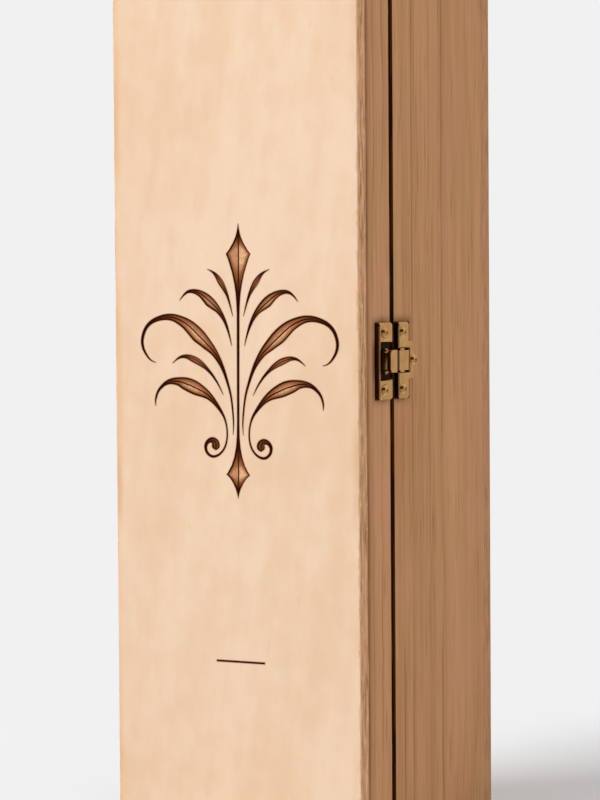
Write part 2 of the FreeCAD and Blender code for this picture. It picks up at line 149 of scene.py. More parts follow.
class Graph:
    """Adds and joins the nodes of one material or world."""

    def __init__(self, made: Union[bpy.types.Material, bpy.types.World]) -> None:
        """Starts with no nodes but those that say where a point of the surface is.

        Args:
            made: new material or world.
        """
        made.use_nodes = True
        self.made = made
        self.tree = made.node_tree
        self.tree.nodes.clear()
        coords = self.node("TexCoord")
        self.spot, self.normal, self.ray = (coords[key] for key in ("Object", "Normal", "Generated"))
        self.across, self.depth, self.up = self.split(self.spot)
        self.place = self.spot

    def feed(self, socket: Socket, value: Feed) -> None:
        """Links a socket, or sets its own value.

        Args:
            socket: input that takes the value.
            value: number, colour, vector or another node's output.
        """
        if isinstance(value, Socket):
            self.tree.links.new(value, socket)
        elif isinstance(socket, bpy.types.NodeSocketColor):
            socket.default_value = (*value, 1.0)
        else:
            socket.default_value = value

    def node(self, kind: str, feeds: Optional[Dict[Union[str, int], Feed]] = None,
             **settings: object) -> Outputs:
        """Adds one node.

        Args:
            kind: Blender's name of the node type, without its first words.
            feeds: values or links for its inputs, by name or number.
            settings: properties of the node.

        Returns:
            The node's outputs.
        """
        added = self.tree.nodes.new(f"ShaderNode{kind}")
        for name, value in settings.items():
            setattr(added, name, value)
        for key, value in (feeds or {}).items():
            self.feed(added.inputs[key], value)
        return added.outputs

    def math(self, operation: str, first: Feed, *others: Feed) -> Socket:
        """Works through numbers with Math nodes, from left to right.

        Args:
            operation: Blender's name of the operation.
            first: number to start with.
            others: numbers that follow, or none for an operation on one number.

        Returns:
            The last node's output.
        """
        for other in others or (0.0,):
            first = self.node("Math", {0: first, 1: other}, operation=operation)[0]
        return first

    def product(self, *values: Feed) -> Socket:
        """Two or more numbers multiplied."""
        return self.math("MULTIPLY", *values)

    def weighed(self, weights: Sequence[float], *values: Feed) -> Socket:
        """Sum of numbers, each times its weight."""
        return self.math("ADD", *(self.product(value, weight) for value, weight in zip(values, weights)))

    def gap(self, first: Feed, second: Feed) -> Socket:
        """How far apart two numbers are."""
        return self.math("ABSOLUTE", self.math("SUBTRACT", first, second))

    def vector(self, operation: str, first: Feed, second: Feed = (0.0, 0.0, 0.0),
               output: str = "Vector") -> Socket:
        """Output of a Vector Math node, which is called Value where it is a number."""
        return self.node("VectorMath", {0: first, 1: second}, operation=operation)[output]

    def split(self, place: Feed) -> Sequence[Socket]:
        """The three parts of a vector."""
        return tuple(self.node("SeparateXYZ", {0: place}))

    def turned(self, place: Feed, turn: Triple) -> Socket:
        """Vector that is turned about the axes."""
        return self.node("Mapping", {"Vector": place, "Rotation": turn})[0]

    def attribute(self, key: str) -> Socket:
        """Number that the mesh holds at its points."""
        return self.node("Attribute", attribute_name=key)["Fac"]

    def rise(self, value: Feed, step: Step) -> Socket:
        """Smooth step of a number.

        Args:
            value: number to look at.
            step: where it changes and what it gives.

        Returns:
            The step's output.
        """
        feeds = {"Value": value, "From Min": step.low, "From Max": step.high, "To Min": step.below,
                 "To Max": step.above}
        return self.node("MapRange", feeds, interpolation_type="SMOOTHSTEP")[0]

    def noise(self, kind: Noise, place: Optional[Feed] = None) -> Socket:
        """Noise around one half.

        Args:
            kind: its settings.
            place: vector to sample at, or nothing for the graph's own place.

        Returns:
            The noise's output.
        """
        lumps = (kind.across, kind.across, kind.along)
        stretched = self.vector("MULTIPLY", self.place if place is None else place, lumps)
        feeds = {"Vector": stretched, "Scale": 1.0, "Detail": kind.layers, "Roughness": kind.rough}
        return self.node("TexNoise", feeds)[0]

    def swayed(self, place: Feed, kind: Noise, reach: float) -> Socket:
        """Place that a noise moves across the fibres."""
        sway = self.vector("MULTIPLY", (reach, reach, 0.0), self.noise(kind, place))
        return self.vector("ADD", place, sway)

    def mix(self, share: Feed, first: Feed, second: Feed) -> Socket:
        """Colour mixed from two, with the second one's share."""
        feeds = {0: share, MIX_FIRST: first, MIX_SECOND: second}
        return self.node("Mix", feeds, data_type="RGBA")[MIX_RESULT]

    def tinted(self, colour: Feed, *tints: Tint) -> Socket:
        """Colour with tints laid over it.

        Args:
            colour: colour below.
            tints: tints to lay over it, in order.

        Returns:
            The tinted colour.
        """
        for tint in tints:
            colour = self.mix(self.rise(self.noise(tint.noise), tint.step), colour, tint.colour)
        return colour

    def shade(self, surface: Surface, colour: Feed, rough: Feed, height: Feed) -> bpy.types.Material:
        """Ends in a Principled shader with a bump.

        Args:
            surface: bump and shine.
            colour: base colour.
            rough: roughness.
            height: bump height from 0 to 1.

        Returns:
            The finished material.
        """
        bump = self.node("Bump", {"Strength": surface.bump_weight, "Distance": surface.bump_depth,
                                  "Height": height})
        feeds = {"Base Color": colour, "Roughness": rough, "Metallic": surface.metal,
                 "Specular IOR Level": surface.gloss, "Normal": bump[0]}
        self.node("OutputMaterial", {0: self.node("BsdfPrincipled", feeds)[0]})
        return self.made


def dress(piece: bpy.types.Object, *materials: bpy.types.Material) -> None:
    """Puts materials into a piece's slots.

    Args:
        piece: object to dress.
        materials: one for each slot, in order.
    """
    for index, material in enumerate(materials):
        if index < len(piece.material_slots):
            piece.material_slots[index].material = material
        else:
            piece.data.materials.append(material)


def mesh_piece(name: str, mesh: bpy.types.Mesh) -> bpy.types.Object:
    """Links a new object for a mesh.

    Args:
        name: name of the object.
        mesh: mesh that it shows.

    Returns:
        The object.
    """
    piece = bpy.data.objects.new(name, mesh)
    bpy.context.scene.collection.objects.link(piece)
    return piece


@dataclass(frozen=True)
class Board:
    """One softwood board: its CAD node, fibre direction, log heart and seed."""

    node: str
    grain: Grain
    heart: Pair
    seed: float


@dataclass(frozen=True)
class Softwood:
    """Sawn softwood: broken late-wood lines, short fibres, tinted blotches, end grain and dirt, with painted
    shade about the clasp and in the seam.
    """

    name: str
    board: Board
    surface: Surface = Surface(0.10 * MM, 0.35, gloss=0.06)
    bump_shares: Pair = (0.7, -0.4)
    seed_spread: Triple = (1.0, 0.7, 1.3)
    early: Colour = (0.580, 0.303, 0.148)
    early_dark: Colour = (0.425, 0.206, 0.092)
    late: Colour = (0.290, 0.122, 0.047)
    pore: Colour = (0.270, 0.118, 0.051)
    end: Colour = (0.420, 0.215, 0.105)
    dirt: Colour = (0.205, 0.080, 0.028)
    stain: Colour = (0.400, 0.155, 0.047)
    # Painted shade in the seam: brown at the base rim's outer edge, darker further in.
    rim_shade_brown: Colour = (0.135, 0.037, 0.006)
    burn_and_seam_shade: Colour = (0.042, 0.014, 0.004)
    # Painted deep shade under the clasp, and softer painted shade about it.
    clasp_deep_shade: Colour = (0.010, 0.003, 0.0015)
    clasp_shade: Colour = (0.120, 0.044, 0.013)
    rosy: Tint = Tint((0.560, 0.268, 0.152), Noise(38.0, 22.0), Step(0.52, 0.70, 0.0, 0.45))
    mossy: Tint = Tint((0.470, 0.272, 0.114), Noise(38.0, 22.0), fall(0.30, 0.47, 0.40))
    dashes: Tint = Tint(pore, Noise(850.0, 45.0, 1.0, 0.4), Step(0.62, 0.76, 0.0, 0.40))
    waves: Noise = Noise(24.0, 26.0)
    wobble: float = 2.4 * MM
    wander: Noise = Noise(14.0, 2.4)
    sway: float = 5.0 * MM
    ring_pitch: float = 6.0 * MM
    ring_middle: Step = Step(0.0, 1.0, 0.25, 0.75)
    ring_weight: Step = Step(0.0, 1.0, 0.4)
    ring_line: Step = fall(0.10 * MM, 0.45 * MM)
    lead: Step = Step(-2.6 * MM, 0.0, 0.0, 0.3)
    lead_end: Step = fall(0.0, 0.45 * MM)
    breaks: Noise = Noise(110.0, 12.0, 3.0, 0.6)
    break_step: Step = Step(0.36, 0.62, 0.25)
    streaks: Noise = Noise(290.0, 9.0, 4.0, 0.6)
    bands: Noise = Noise(70.0, 5.0)
    fibres: Noise = Noise(1300.0, 24.0, 3.0, 0.6)
    tone_weights: Triple = (0.36, 0.30, 0.34)
    tone_step: Step = Step(0.30, 0.68)
    rough: Step = Step(0.3, 0.7, 0.72, 0.58)
    late_share: float = 0.80
    crumbs: Noise = Noise(1700.0, 300.0, 2.0, 0.6)
    crumb_step: Step = Step(0.32, 0.68)
    end_ring_share: float = 0.5
    end_facing: Step = Step(0.55, 0.9, 0.0, 0.85)
    specks: Noise = Noise(420.0, 60.0, 3.0, 0.6)
    glue_planes: Pair = (-44.0 * MM, 44.0 * MM)
    front_dirt: Step = fall(0.1 * MM, 3.2 * MM)
    front_specks: Step = Step(0.2, 0.6, 0.55)
    front_haze: Step = fall(0.5 * MM, 7.0 * MM, 0.3)
    back_dirt: Step = fall(0.1 * MM, 1.2 * MM, 0.5)
    back_specks: Step = Step(0.3, 0.6)
    dirt_share: float = 0.9
    base_rim: float = -24.4 * MM
    stain_start: Step = Step(-0.1 * MM, 0.1 * MM)
    stain_reach: Step = fall(4.0 * MM, 9.0 * MM, 0.4)
    blots: Noise = Noise(14.0, 11.0)
    blot_step: Step = Step(0.50, 0.66)
    half_width: float = 50.0 * MM
    # Where the painted seam shade lies on the base's rim.
    rim_near: Step = fall(0.2 * MM, 0.5 * MM)
    rim_facing: Step = fall(-0.75, -0.35)
    rim_ragged: Step = Step(0.3, 0.7, 0.3 * MM, -0.3 * MM)
    rim_reach: Step = fall(1.25 * MM, 2.5 * MM)
    brown_reach: Step = Step(0.6 * MM, 1.0 * MM)
    patches: Noise = Noise(60.0, 30.0, 3.0, 0.6)
    patch_step: Step = Step(0.50, 0.62)
    # Where the painted shade about and under the clasp lies.
    clasp_middle: Triple = (50.0 * MM, -25.8 * MM, 175.0 * MM)
    clasp_half: Triple = (2.0 * MM, 12.3 * MM, 13.3 * MM)
    shade_ahead: Step = fall(-12.3 * MM, -11.8 * MM)
    shade_heights: Step = Step(4.0 * MM, 9.0 * MM, 1.0, 0.55)
    shade_above: Step = Step(12.8 * MM, 13.3 * MM, 0.0, 0.6)
    shade_least: float = 0.3
    shade_reach: Step = fall(0.3 * MM, 3.4 * MM, 0.85)
    shade_specks: Step = Step(0.25, 0.60, 0.35)
    deep_shade_reach: Step = fall(0.0, 0.6 * MM, 0.95)

    def rings(self, graph: Graph, place: Feed) -> Socket:
        """Finds the late wood.

        Args:
            graph: material that is being made.
            place: upright place in the wood.

        Returns:
            Output from 0 in early wood to 1 in the darkest late wood.
        """
        swayed = graph.swayed(place, self.wander, self.sway)
        shifted = graph.vector("SUBTRACT", swayed, (*self.board.heart, 0.0))
        flat = graph.vector("MULTIPLY", shifted, (1.0, 1.0, 0.0))
        count = graph.math("DIVIDE", graph.vector("LENGTH", flat, output="Value"), self.ring_pitch)
        lots = graph.node("TexWhiteNoise", {"W": graph.math("FLOOR", count)}, noise_dimensions="1D")
        middle = graph.rise(lots["Value"], self.ring_middle)
        shift = graph.product(graph.math("SUBTRACT", graph.math("FRACT", count), middle), self.ring_pitch)
        line = graph.rise(graph.math("ABSOLUTE", shift), self.ring_line)
        lead = graph.product(graph.rise(shift, self.lead), graph.rise(shift, self.lead_end))
        weight = graph.rise(graph.split(lots["Color"])[1], self.ring_weight)
        breaks = graph.rise(graph.noise(self.breaks, place), self.break_step)
        return graph.product(graph.math("MAXIMUM", line, lead), weight, breaks)

    def soiled(self, graph: Graph, colour: Feed, specks: Feed) -> Socket:
        """Adds dirt beside the glue lines and brown stain in patches along the base's rim.

        Args:
            graph: material that is being made.
            colour: colour of the clean wood.
            specks: noise that breaks the dirt up.

        Returns:
            The soiled colour.
        """
        front, back = (graph.gap(graph.depth, plane) for plane in self.glue_planes)
        strong = graph.product(graph.rise(front, self.front_dirt), graph.rise(specks, self.front_specks))
        faint = graph.product(graph.rise(back, self.back_dirt), graph.rise(specks, self.back_specks))
        dirt = graph.math("MAXIMUM", strong, graph.rise(front, self.front_haze), faint)
        colour = graph.mix(graph.product(dirt, self.dirt_share), colour, self.dirt)
        behind = graph.math("SUBTRACT", graph.depth, self.base_rim)
        blots = graph.rise(graph.noise(self.blots), self.blot_step)
        reach = graph.product(graph.rise(behind, self.stain_reach), graph.rise(behind, self.stain_start))
        return graph.mix(graph.product(reach, blots), colour, self.stain)

    def clasp_painted_shade(self, graph: Graph, colour: Feed, specks: Feed) -> Socket:
        """Paints shade on the wood about the clasp, most in front of it and above it, and deep shade right
        under it.

        Args:
            graph: material that is being made.
            colour: colour of the wood so far.
            specks: noise that breaks the painted shade up.

        Returns:
            The colour with painted shade.
        """
        shift = graph.vector("SUBTRACT", graph.spot, self.clasp_middle)
        outside = graph.vector("SUBTRACT", graph.vector("ABSOLUTE", shift), self.clasp_half)
        gap = graph.vector("LENGTH", graph.vector("MAXIMUM", outside), output="Value")
        _, depth, up = graph.split(shift)
        heights = graph.rise(graph.math("ABSOLUTE", up), self.shade_heights)
        ahead = graph.product(graph.rise(depth, self.shade_ahead), heights)
        weight = graph.math("MAXIMUM", ahead, graph.rise(up, self.shade_above), self.shade_least)
        clasp_shade = graph.product(graph.rise(gap, self.shade_reach), weight,
                               graph.rise(specks, self.shade_specks))
        # Painted shade about the clasp, then painted deep shade right under it.
        colour = graph.mix(clasp_shade, colour, self.clasp_shade)
        return graph.mix(graph.rise(gap, self.deep_shade_reach), colour, self.clasp_deep_shade)

    def rim_painted_shade(self, graph: Graph, colour: Feed, specks: Feed) -> Socket:
        """Paints shade on the outer strip of the base's rim on the clasp's side, where the seam between lid
        and base is.

        Args:
            graph: material that is being made.
            colour: colour of the wood so far.
            specks: fine uneven tone.

        Returns:
            The colour with painted brown shade at the rim's outer edge and darker painted shade further in.
        """
        inset = graph.math("SUBTRACT", self.half_width, graph.across)
        near = graph.rise(graph.gap(graph.depth, self.base_rim), self.rim_near)
        facing = graph.rise(graph.split(graph.normal)[1], self.rim_facing)
        outer = graph.rise(graph.math("ADD", inset, graph.rise(specks, self.rim_ragged)), self.rim_reach)
        patches = graph.rise(graph.noise(self.patches), self.patch_step)
        inner = graph.math("MAXIMUM", graph.rise(inset, self.brown_reach), patches)
        # Painted seam shade, brown at the arris and darker further in.
        shade = graph.mix(inner, self.rim_shade_brown, self.burn_and_seam_shade)
        return graph.mix(graph.product(outer, near, facing), colour, shade)

    def material(self) -> bpy.types.Material:
        """Makes the finish of the board.

        Returns:
            The material.
        """
        graph = Graph(bpy.data.materials.new(self.name))
        turn, seed = self.board.grain.value, self.board.seed
        wavy = graph.swayed(graph.turned(graph.spot, turn), self.waves, self.wobble)
        graph.place = graph.vector("ADD", wavy, tuple(seed * share for share in self.seed_spread))
        ring = self.rings(graph, graph.vector("ADD", wavy, (0.0, 0.0, seed)))
        fibres = graph.noise(self.fibres)
        tone = graph.weighed(self.tone_weights, graph.noise(self.streaks), graph.noise(self.bands), fibres)
        colour = graph.mix(graph.rise(tone, self.tone_step), self.early_dark, self.early)
        colour = graph.tinted(colour, self.rosy, self.mossy)
        colour = graph.mix(graph.product(ring, self.late_share), colour, self.late)
        colour = graph.tinted(colour, self.dashes)
        end = graph.mix(graph.rise(graph.noise(self.crumbs), self.crumb_step), self.late, self.end)
        end = graph.mix(graph.product(ring, self.end_ring_share), end, self.pore)
        upright = graph.math("ABSOLUTE", graph.split(graph.turned(graph.normal, turn))[2])
        colour = graph.mix(graph.rise(upright, self.end_facing), colour, end)
        specks = graph.noise(self.specks)
        # Dirt and stain, then painted shade about the clasp and in the seam.
        for dirt_and_shade in (self.soiled, self.clasp_painted_shade, self.rim_painted_shade):
            colour = dirt_and_shade(graph, colour, specks)
        height = graph.weighed(self.bump_shares, fibres, ring)
        return graph.shade(self.surface, colour, graph.rise(tone, self.rough), height)


@dataclass(frozen=True)
class Plywood:
    """Pale plywood: faint drawn-out figure and mottling on the faces, plies on the edges, worn arrises."""

    name: str
    face: float
    seed: float
    surface: Surface = Surface(0.06 * MM, 0.35, gloss=0.16)
    seed_spread: Triple = (1.0, 0.6, 1.7)
    half_width: float = 50.0 * MM
    height: float = 350.0 * MM
    thickness: float = 6.0 * MM
    pale: Colour = (0.890, 0.662, 0.478)
    warm: Colour = (0.845, 0.585, 0.388)
    shadow: Colour = (0.720, 0.455, 0.262)
    core: Colour = (0.350, 0.160, 0.066)
    veneer: Colour = (0.660, 0.362, 0.190)
    blush: Colour = (0.640, 0.310, 0.160)
    light_ply: Colour = (0.820, 0.540, 0.340)
    worn: Colour = (0.640, 0.310, 0.125)
    scorch: Colour = (0.300, 0.098, 0.030)
    scorch_share: float = 0.7
    glow: Colour = (0.860, 0.520, 0.270)
    figure_lean_deg: float = -11.0
    clouds: Noise = Noise(27.0, 23.0, 3.0, 0.6)
    drifts: Noise = Noise(75.0, 8.0, 4.0, 0.6)
    mottles: Noise = Noise(130.0, 90.0)
    fibres: Noise = Noise(1700.0, 60.0, 2.0, 0.6)
    tone_weights: Triple = (0.36, 0.36, 0.28)
    tone_step: Step = Step(0.38, 0.62)
    shadows: Tuple[Tint, ...] = (
        Tint(shadow, Noise(150.0, 12.0, 3.0, 0.6), Step(0.46, 0.76, 0.0, 0.07)),
        Tint(shadow, Noise(330.0, 95.0), Step(0.64, 0.80, 0.0, 0.18)),
        Tint(shadow, fibres, Step(0.55, 0.80, 0.0, 0.08)))
    rough: Step = Step(0.3, 0.7, 0.66, 0.52)
    reach: Noise = Noise(60.0, 24.0, 2.0, 0.6)
    nicks: Noise = Noise(420.0, 150.0, 3.0, 0.7)
    nick_step: Step = Step(0.44, 0.62)
    nick_reach: Step = fall(0.2 * MM, 0.9 * MM, 0.62)
    worn_step: Step = Step(0.44, 0.74)
    worn_reach: Step = fall(0.4 * MM, 4.0 * MM, 0.38)
    glow_step: Step = Step(0.30, 0.60, 0.35)
    glow_reach: Step = fall(0.3 * MM, 3.4 * MM, 0.65)
    edge_facing: Step = fall(0.25, 0.6)
    edge_grain: Noise = Noise(820.0, 95.0, 3.0, 0.65)
    edge_step: Step = Step(0.32, 0.62)
    blushes: Noise = Noise(70.0, 48.0)
    blush_step: Step = Step(0.46, 0.64, 0.0, 0.4)
    patches: Noise = Noise(160.0, 30.0)
    patch_middle: float = 0.5
    patch_step: Step = Step(0.46, 0.60, 0.0, 0.35)
    ply_sway: float = 2.2 * MM
    outer_ply: Step = fall(0.05, 0.30, 0.35)
    inner_start: Step = Step(0.70, 0.78)
    inner_end: Step = fall(0.84, 0.92)
    glue_line: Step = Step(0.88, 1.0, 0.0, 0.7)
    crumbs: Noise = Noise(640.0, 230.0)
    crumb_step: Step = Step(0.58, 0.72, 0.0, 0.6)

    def veneered(self, graph: Graph) -> Socket:
        """Colour of the face veneer.

        Args:
            graph: material that is being made.

        Returns:
            Colour output.
        """
        leaning = graph.turned(graph.place, (0.0, math.radians(self.figure_lean_deg), 0.0))
        tone = graph.weighed(self.tone_weights, graph.noise(self.clouds), graph.noise(self.drifts, leaning),
                             graph.noise(self.mottles))
        return graph.tinted(graph.mix(graph.rise(tone, self.tone_step), self.warm, self.pale), *self.shadows)

    def wear(self, graph: Graph, colour: Feed) -> Socket:
        """Adds a warm glow beside the hinge edge, and browning and dark nicks along the panel's outline.

        Args:
            graph: material that is being made.
            colour: colour of the face so far.

        Returns:
            The worn colour.
        """
        side = graph.math("SUBTRACT", self.half_width, graph.math("ABSOLUTE", graph.across))
        gap = graph.math("MINIMUM", side, graph.up, graph.math("SUBTRACT", self.height, graph.up))
        reach = graph.noise(self.reach)
        wide = graph.product(graph.rise(gap, self.worn_reach), graph.rise(reach, self.worn_step))
        nicks = graph.rise(graph.noise(self.nicks), self.nick_step)
        tight = graph.product(graph.rise(gap, self.nick_reach), nicks)
        left = graph.math("ADD", graph.across, self.half_width)
        warmth = graph.product(graph.rise(left, self.glow_reach), graph.rise(reach, self.glow_step))
        colour = graph.mix(warmth, colour, self.glow)
        return graph.mix(graph.math("MAXIMUM", wide, tight), colour, self.worn)

    def edge_colour(self, graph: Graph) -> Socket:
        """Colour of the panel's edge, where the plies show.

        Args:
            graph: material that is being made.

        Returns:
            Colour output.
        """
        patches = graph.noise(self.patches)
        sway = graph.product(graph.math("SUBTRACT", patches, self.patch_middle), self.ply_sway)
        inward = graph.math("ADD", graph.gap(graph.depth, self.face), sway)
        share = graph.math("DIVIDE", inward, self.thickness)
        inner_ply = graph.product(graph.rise(share, self.inner_start), graph.rise(share, self.inner_end))
        colour = graph.mix(graph.rise(graph.noise(self.edge_grain), self.edge_step), self.core, self.veneer)
        colour = graph.mix(graph.rise(graph.noise(self.blushes), self.blush_step), colour, self.blush)
        for light in (graph.rise(share, self.outer_ply),
                      graph.product(inner_ply, graph.rise(patches, self.patch_step)),
                      graph.rise(graph.noise(self.crumbs), self.crumb_step)):
            colour = graph.mix(light, colour, self.light_ply)
        return graph.mix(graph.rise(share, self.glue_line), colour, self.core)

    def material(self) -> bpy.types.Material:
        """Makes the finish of the panel.

        Returns:
            The material.
        """
        graph = Graph(bpy.data.materials.new(self.name))
        graph.place = graph.vector("ADD", graph.spot, tuple(self.seed * share for share in self.seed_spread))
        fibres = graph.noise(self.fibres)
        burn_and_seam_shade = graph.product(graph.attribute("scorch"), self.scorch_share)
        colour = graph.mix(burn_and_seam_shade, self.wear(graph, self.veneered(graph)), self.scorch)
        facing = graph.math("ABSOLUTE", graph.split(graph.normal)[1])
        colour = graph.mix(graph.rise(facing, self.edge_facing), colour, self.edge_colour(graph))
        return graph.shade(self.surface, colour, graph.rise(fibres, self.rough), fibres)


@dataclass(frozen=True)
class BackPlywood(Plywood):
    """Plywood of the back panel, whose plies differ less."""

    core: Colour = (0.360, 0.172, 0.078)
    veneer: Colour = (0.500, 0.258, 0.126)
    blush: Colour = (0.500, 0.245, 0.128)
    light_ply: Colour = (0.520, 0.275, 0.140)


@dataclass(frozen=True)
class Scorched:
    """Floor and walls of an engraved stroke: burnt outline and rib, and a hatched belly.

    Gaps are in millimetres of a broad leaf, and fullness is a share of its width.
    """

    name: str
    surface: Surface = Surface(0.05 * MM, 0.4, gloss=0.04)
    rough: float = 0.9
    dark: Colour = (0.034, 0.0046, 0.0008)
    brown: Colour = (0.265, 0.078, 0.021)
    light: Colour = (0.960, 0.548, 0.300)
    line_gap: Step = fall(0.40, 0.82)
    rib_gap: Step = fall(0.14, 0.38)
    rib_fullness: Step = Step(0.28, 0.46)
    brown_fullness: Step = Step(0.24, 0.60)
    light_gap: Step = Step(0.4, 2.4)
    light_fullness: Step = Step(0.46, 1.02)
    light_side: Step = Step(-0.7, 0.6, 0.52)
    hatch_pace: Pair = (4.2, 0.8)
    hatch: Noise = Noise(1.0, 1.0, 2.0, 0.6)
    hatch_step: Step = Step(0.36, 0.60, 0.38)

    def material(self) -> bpy.types.Material:
        """Makes the finish from what the strokes' points hold.

        Returns:
            The material.
        """
        graph = Graph(bpy.data.materials.new(self.name))
        keys = ("edge_gap", "inward", "along", "fullness")
        gap, inward, along, full = (graph.attribute(key) for key in keys)
        off_rib = graph.math("ABSOLUTE", inward)
        rib = graph.product(graph.rise(off_rib, self.rib_gap), graph.rise(full, self.rib_fullness))
        slant = graph.product(graph.math("ADD", along, off_rib), self.hatch_pace[0])
        place = graph.node("CombineXYZ", {0: slant, 1: graph.product(inward, self.hatch_pace[1])})[0]
        hatch = graph.noise(self.hatch, place)
        light = graph.product(graph.rise(gap, self.light_gap), graph.rise(full, self.light_fullness),
                              graph.rise(inward, self.light_side), graph.rise(hatch, self.hatch_step))
        colour = graph.mix(graph.rise(full, self.brown_fullness), self.dark, self.brown)
        colour = graph.mix(light, colour, self.light)
        colour = graph.mix(graph.math("MAXIMUM", graph.rise(gap, self.line_gap), rib), colour, self.dark)
        return graph.shade(self.surface, colour, self.rough, hatch)


@dataclass(frozen=True)
class Brass:
    """Polished brass with faint blotches, tarnish spots, hazy wear and fine scratches, and painted shade
    where asked for.
    """

    name: str
    surface: Surface = Surface(0.02 * MM, 0.10, metal=1.0)
    bright: Colour = (0.850, 0.560, 0.240)
    dull: Tint = Tint((0.740, 0.455, 0.170), Noise(170.0, 170.0, 3.0, 0.6), Step(0.35, 0.68))
    tarnish: Tint = Tint((0.360, 0.180, 0.055), Noise(520.0, 520.0, 4.0, 0.65),
                         Step(0.60, 0.78, 0.0, 0.25))
    scratches: Noise = Noise(2400.0, 190.0, 2.0, 0.6)
    haze: Step = Step(0.4, 0.8, 0.0, 0.05)
    rough: Step = Step(0.3, 0.7, 0.15, 0.25)
    # Painted shade, in place of dark reflections, on walls that face the front, at the lever's bend and on
    # the latch's barrel.
    painted_shade: Colour = (0.060, 0.022, 0.006)
    wall_rough: float = 0.12
    has_painted_wall_shade: bool = False
    top_facing: Step = fall(0.45, 0.80)
    under_facing: Step = Step(-0.70, -0.35)
    front_facing: Step = Step(-0.50, -0.10, 1.0, 0.3)
    painted_bend_shade: Optional[Tuple[Step, Step]] = None
    painted_barrel_shade: Optional[Step] = None

    def material(self) -> bpy.types.Material:
        """Makes the finish.

        Returns:
            The material.
        """
        graph = Graph(bpy.data.materials.new(self.name))
        scratches = graph.noise(self.scratches)
        colour = graph.tinted(self.bright, self.dull, self.tarnish)
        clouds = graph.rise(graph.noise(self.dull.noise), self.rough)
        rough = graph.math("ADD", clouds, graph.rise(scratches, self.haze))
        # Painted shade on the walls, most on those that face the front.
        if self.has_painted_wall_shade:
            outward, rearward, _ = graph.split(graph.normal)
            painted_shade = graph.product(graph.rise(outward, self.top_facing), graph.rise(outward, self.under_facing),
                                 graph.rise(rearward, self.front_facing))
            colour = graph.mix(painted_shade, colour, self.painted_shade)
            rough = graph.math("ADD", rough, graph.product(painted_shade, self.wall_rough))
        # Painted shade in a band across the lever's bend.
        if self.painted_bend_shade:
            band = graph.product(*(graph.rise(graph.depth, step) for step in self.painted_bend_shade))
            colour = graph.mix(band, colour, self.painted_shade)
        # Painted shade over the knuckle's barrel.
        if self.painted_barrel_shade:
            colour = graph.mix(graph.rise(graph.across, self.painted_barrel_shade), colour, self.painted_shade)
        return graph.shade(self.surface, colour, rough, scratches)


@dataclass(frozen=True)
class Easing:
    """Softened edges on a CAD node, by modifiers alone."""

    width: float
    segments: int = 2
    least_angle_deg: float = 28.0
    flat_angle_deg: float = 0.5
    weld: float = 0.002 * MM

    def apply(self, piece: bpy.types.Object) -> None:
        """Adds the modifiers.

        Args:
            piece: CAD node's object.
        """
        joined = piece.modifiers.new("join_faces", "WELD")
        joined.merge_threshold = self.weld
        flat = piece.modifiers.new("merge_flats", "DECIMATE")
        flat.decimate_type = "DISSOLVE"
        flat.angle_limit = math.radians(self.flat_angle_deg)
        eased = piece.modifiers.new("ease_edges", "BEVEL")
        eased.width = self.width
        eased.segments = self.segments
        eased.limit_method = "ANGLE"
        eased.angle_limit = math.radians(self.least_angle_deg)
        eased.use_clamp_overlap = True
        eased.harden_normals = True


@dataclass(frozen=True)
class Stroke:
    """One engraved stroke: (across, up, width) points in millimetres about the flourish's middle."""

    points: Tuple[Triple, ...]
    flow: Flow = Flow.CURVED
    swell: Swell = Swell.RIGHT
    bright: Swell = Swell.RIGHT
    burnt_length: float = 0.0
    broad: Pair = (3.6, 8.0)
    fine_below: float = 4.0

    def widest(self) -> float:
        """Greatest width."""
        return max(width for _, _, width in self.points)

    def breadth(self) -> float:
        """Width at which the stroke's belly is lightest."""
        return min(max(self.widest(), self.broad[0]), self.broad[1])

    def fineness(self) -> float:
        """How much finer its outline is than a broad leaf's."""
        return min(self.widest() / self.fine_below, 1.0)

    def mirrored(self) -> "Stroke":
        """The same stroke on the other side of the stem."""
        points = tuple((-across, up, width) for across, up, width in self.points)
        return replace(self, points=points, swell=self.swell.mirrored(), bright=self.bright.mirrored())

    def at(self, index: int) -> Vector:
        """Point by number, where the ends repeat."""
        return Vector(self.points[min(max(index, 0), len(self.points) - 1)])

    def between(self, index: int, share: float) -> Vector:
        """Place on the stroke between two of its points, on a Catmull-Rom curve or a straight line.

        Args:
            index: number of the first point.
            share: part of the way to the next, from 0 to 1.

        Returns:
            Across, up and width there.
        """
        before, start, end, after = (self.at(index + step) for step in (-1, 0, 1, 2))
        if self.flow is Flow.STRAIGHT:
            return start.lerp(end, share)
        linear = (end - before) * 0.5
        square = before - start * 2.5 + end * 2.0 - after * 0.5
        cube = (start - end) * 1.5 + (after - before) * 0.5
        return start + linear * share + square * share ** 2 + cube * share ** 3

    def rows(self, steps: int) -> List[Vector]:
        """Places along the stroke.

        Args:
            steps: places between one point and the next.

        Returns:
            Across, up and width at each.
        """
        last = len(self.points) - 1
        places = [self.between(index, step / steps) for index in range(last) for step in range(steps)]
        return places + [self.at(last)]


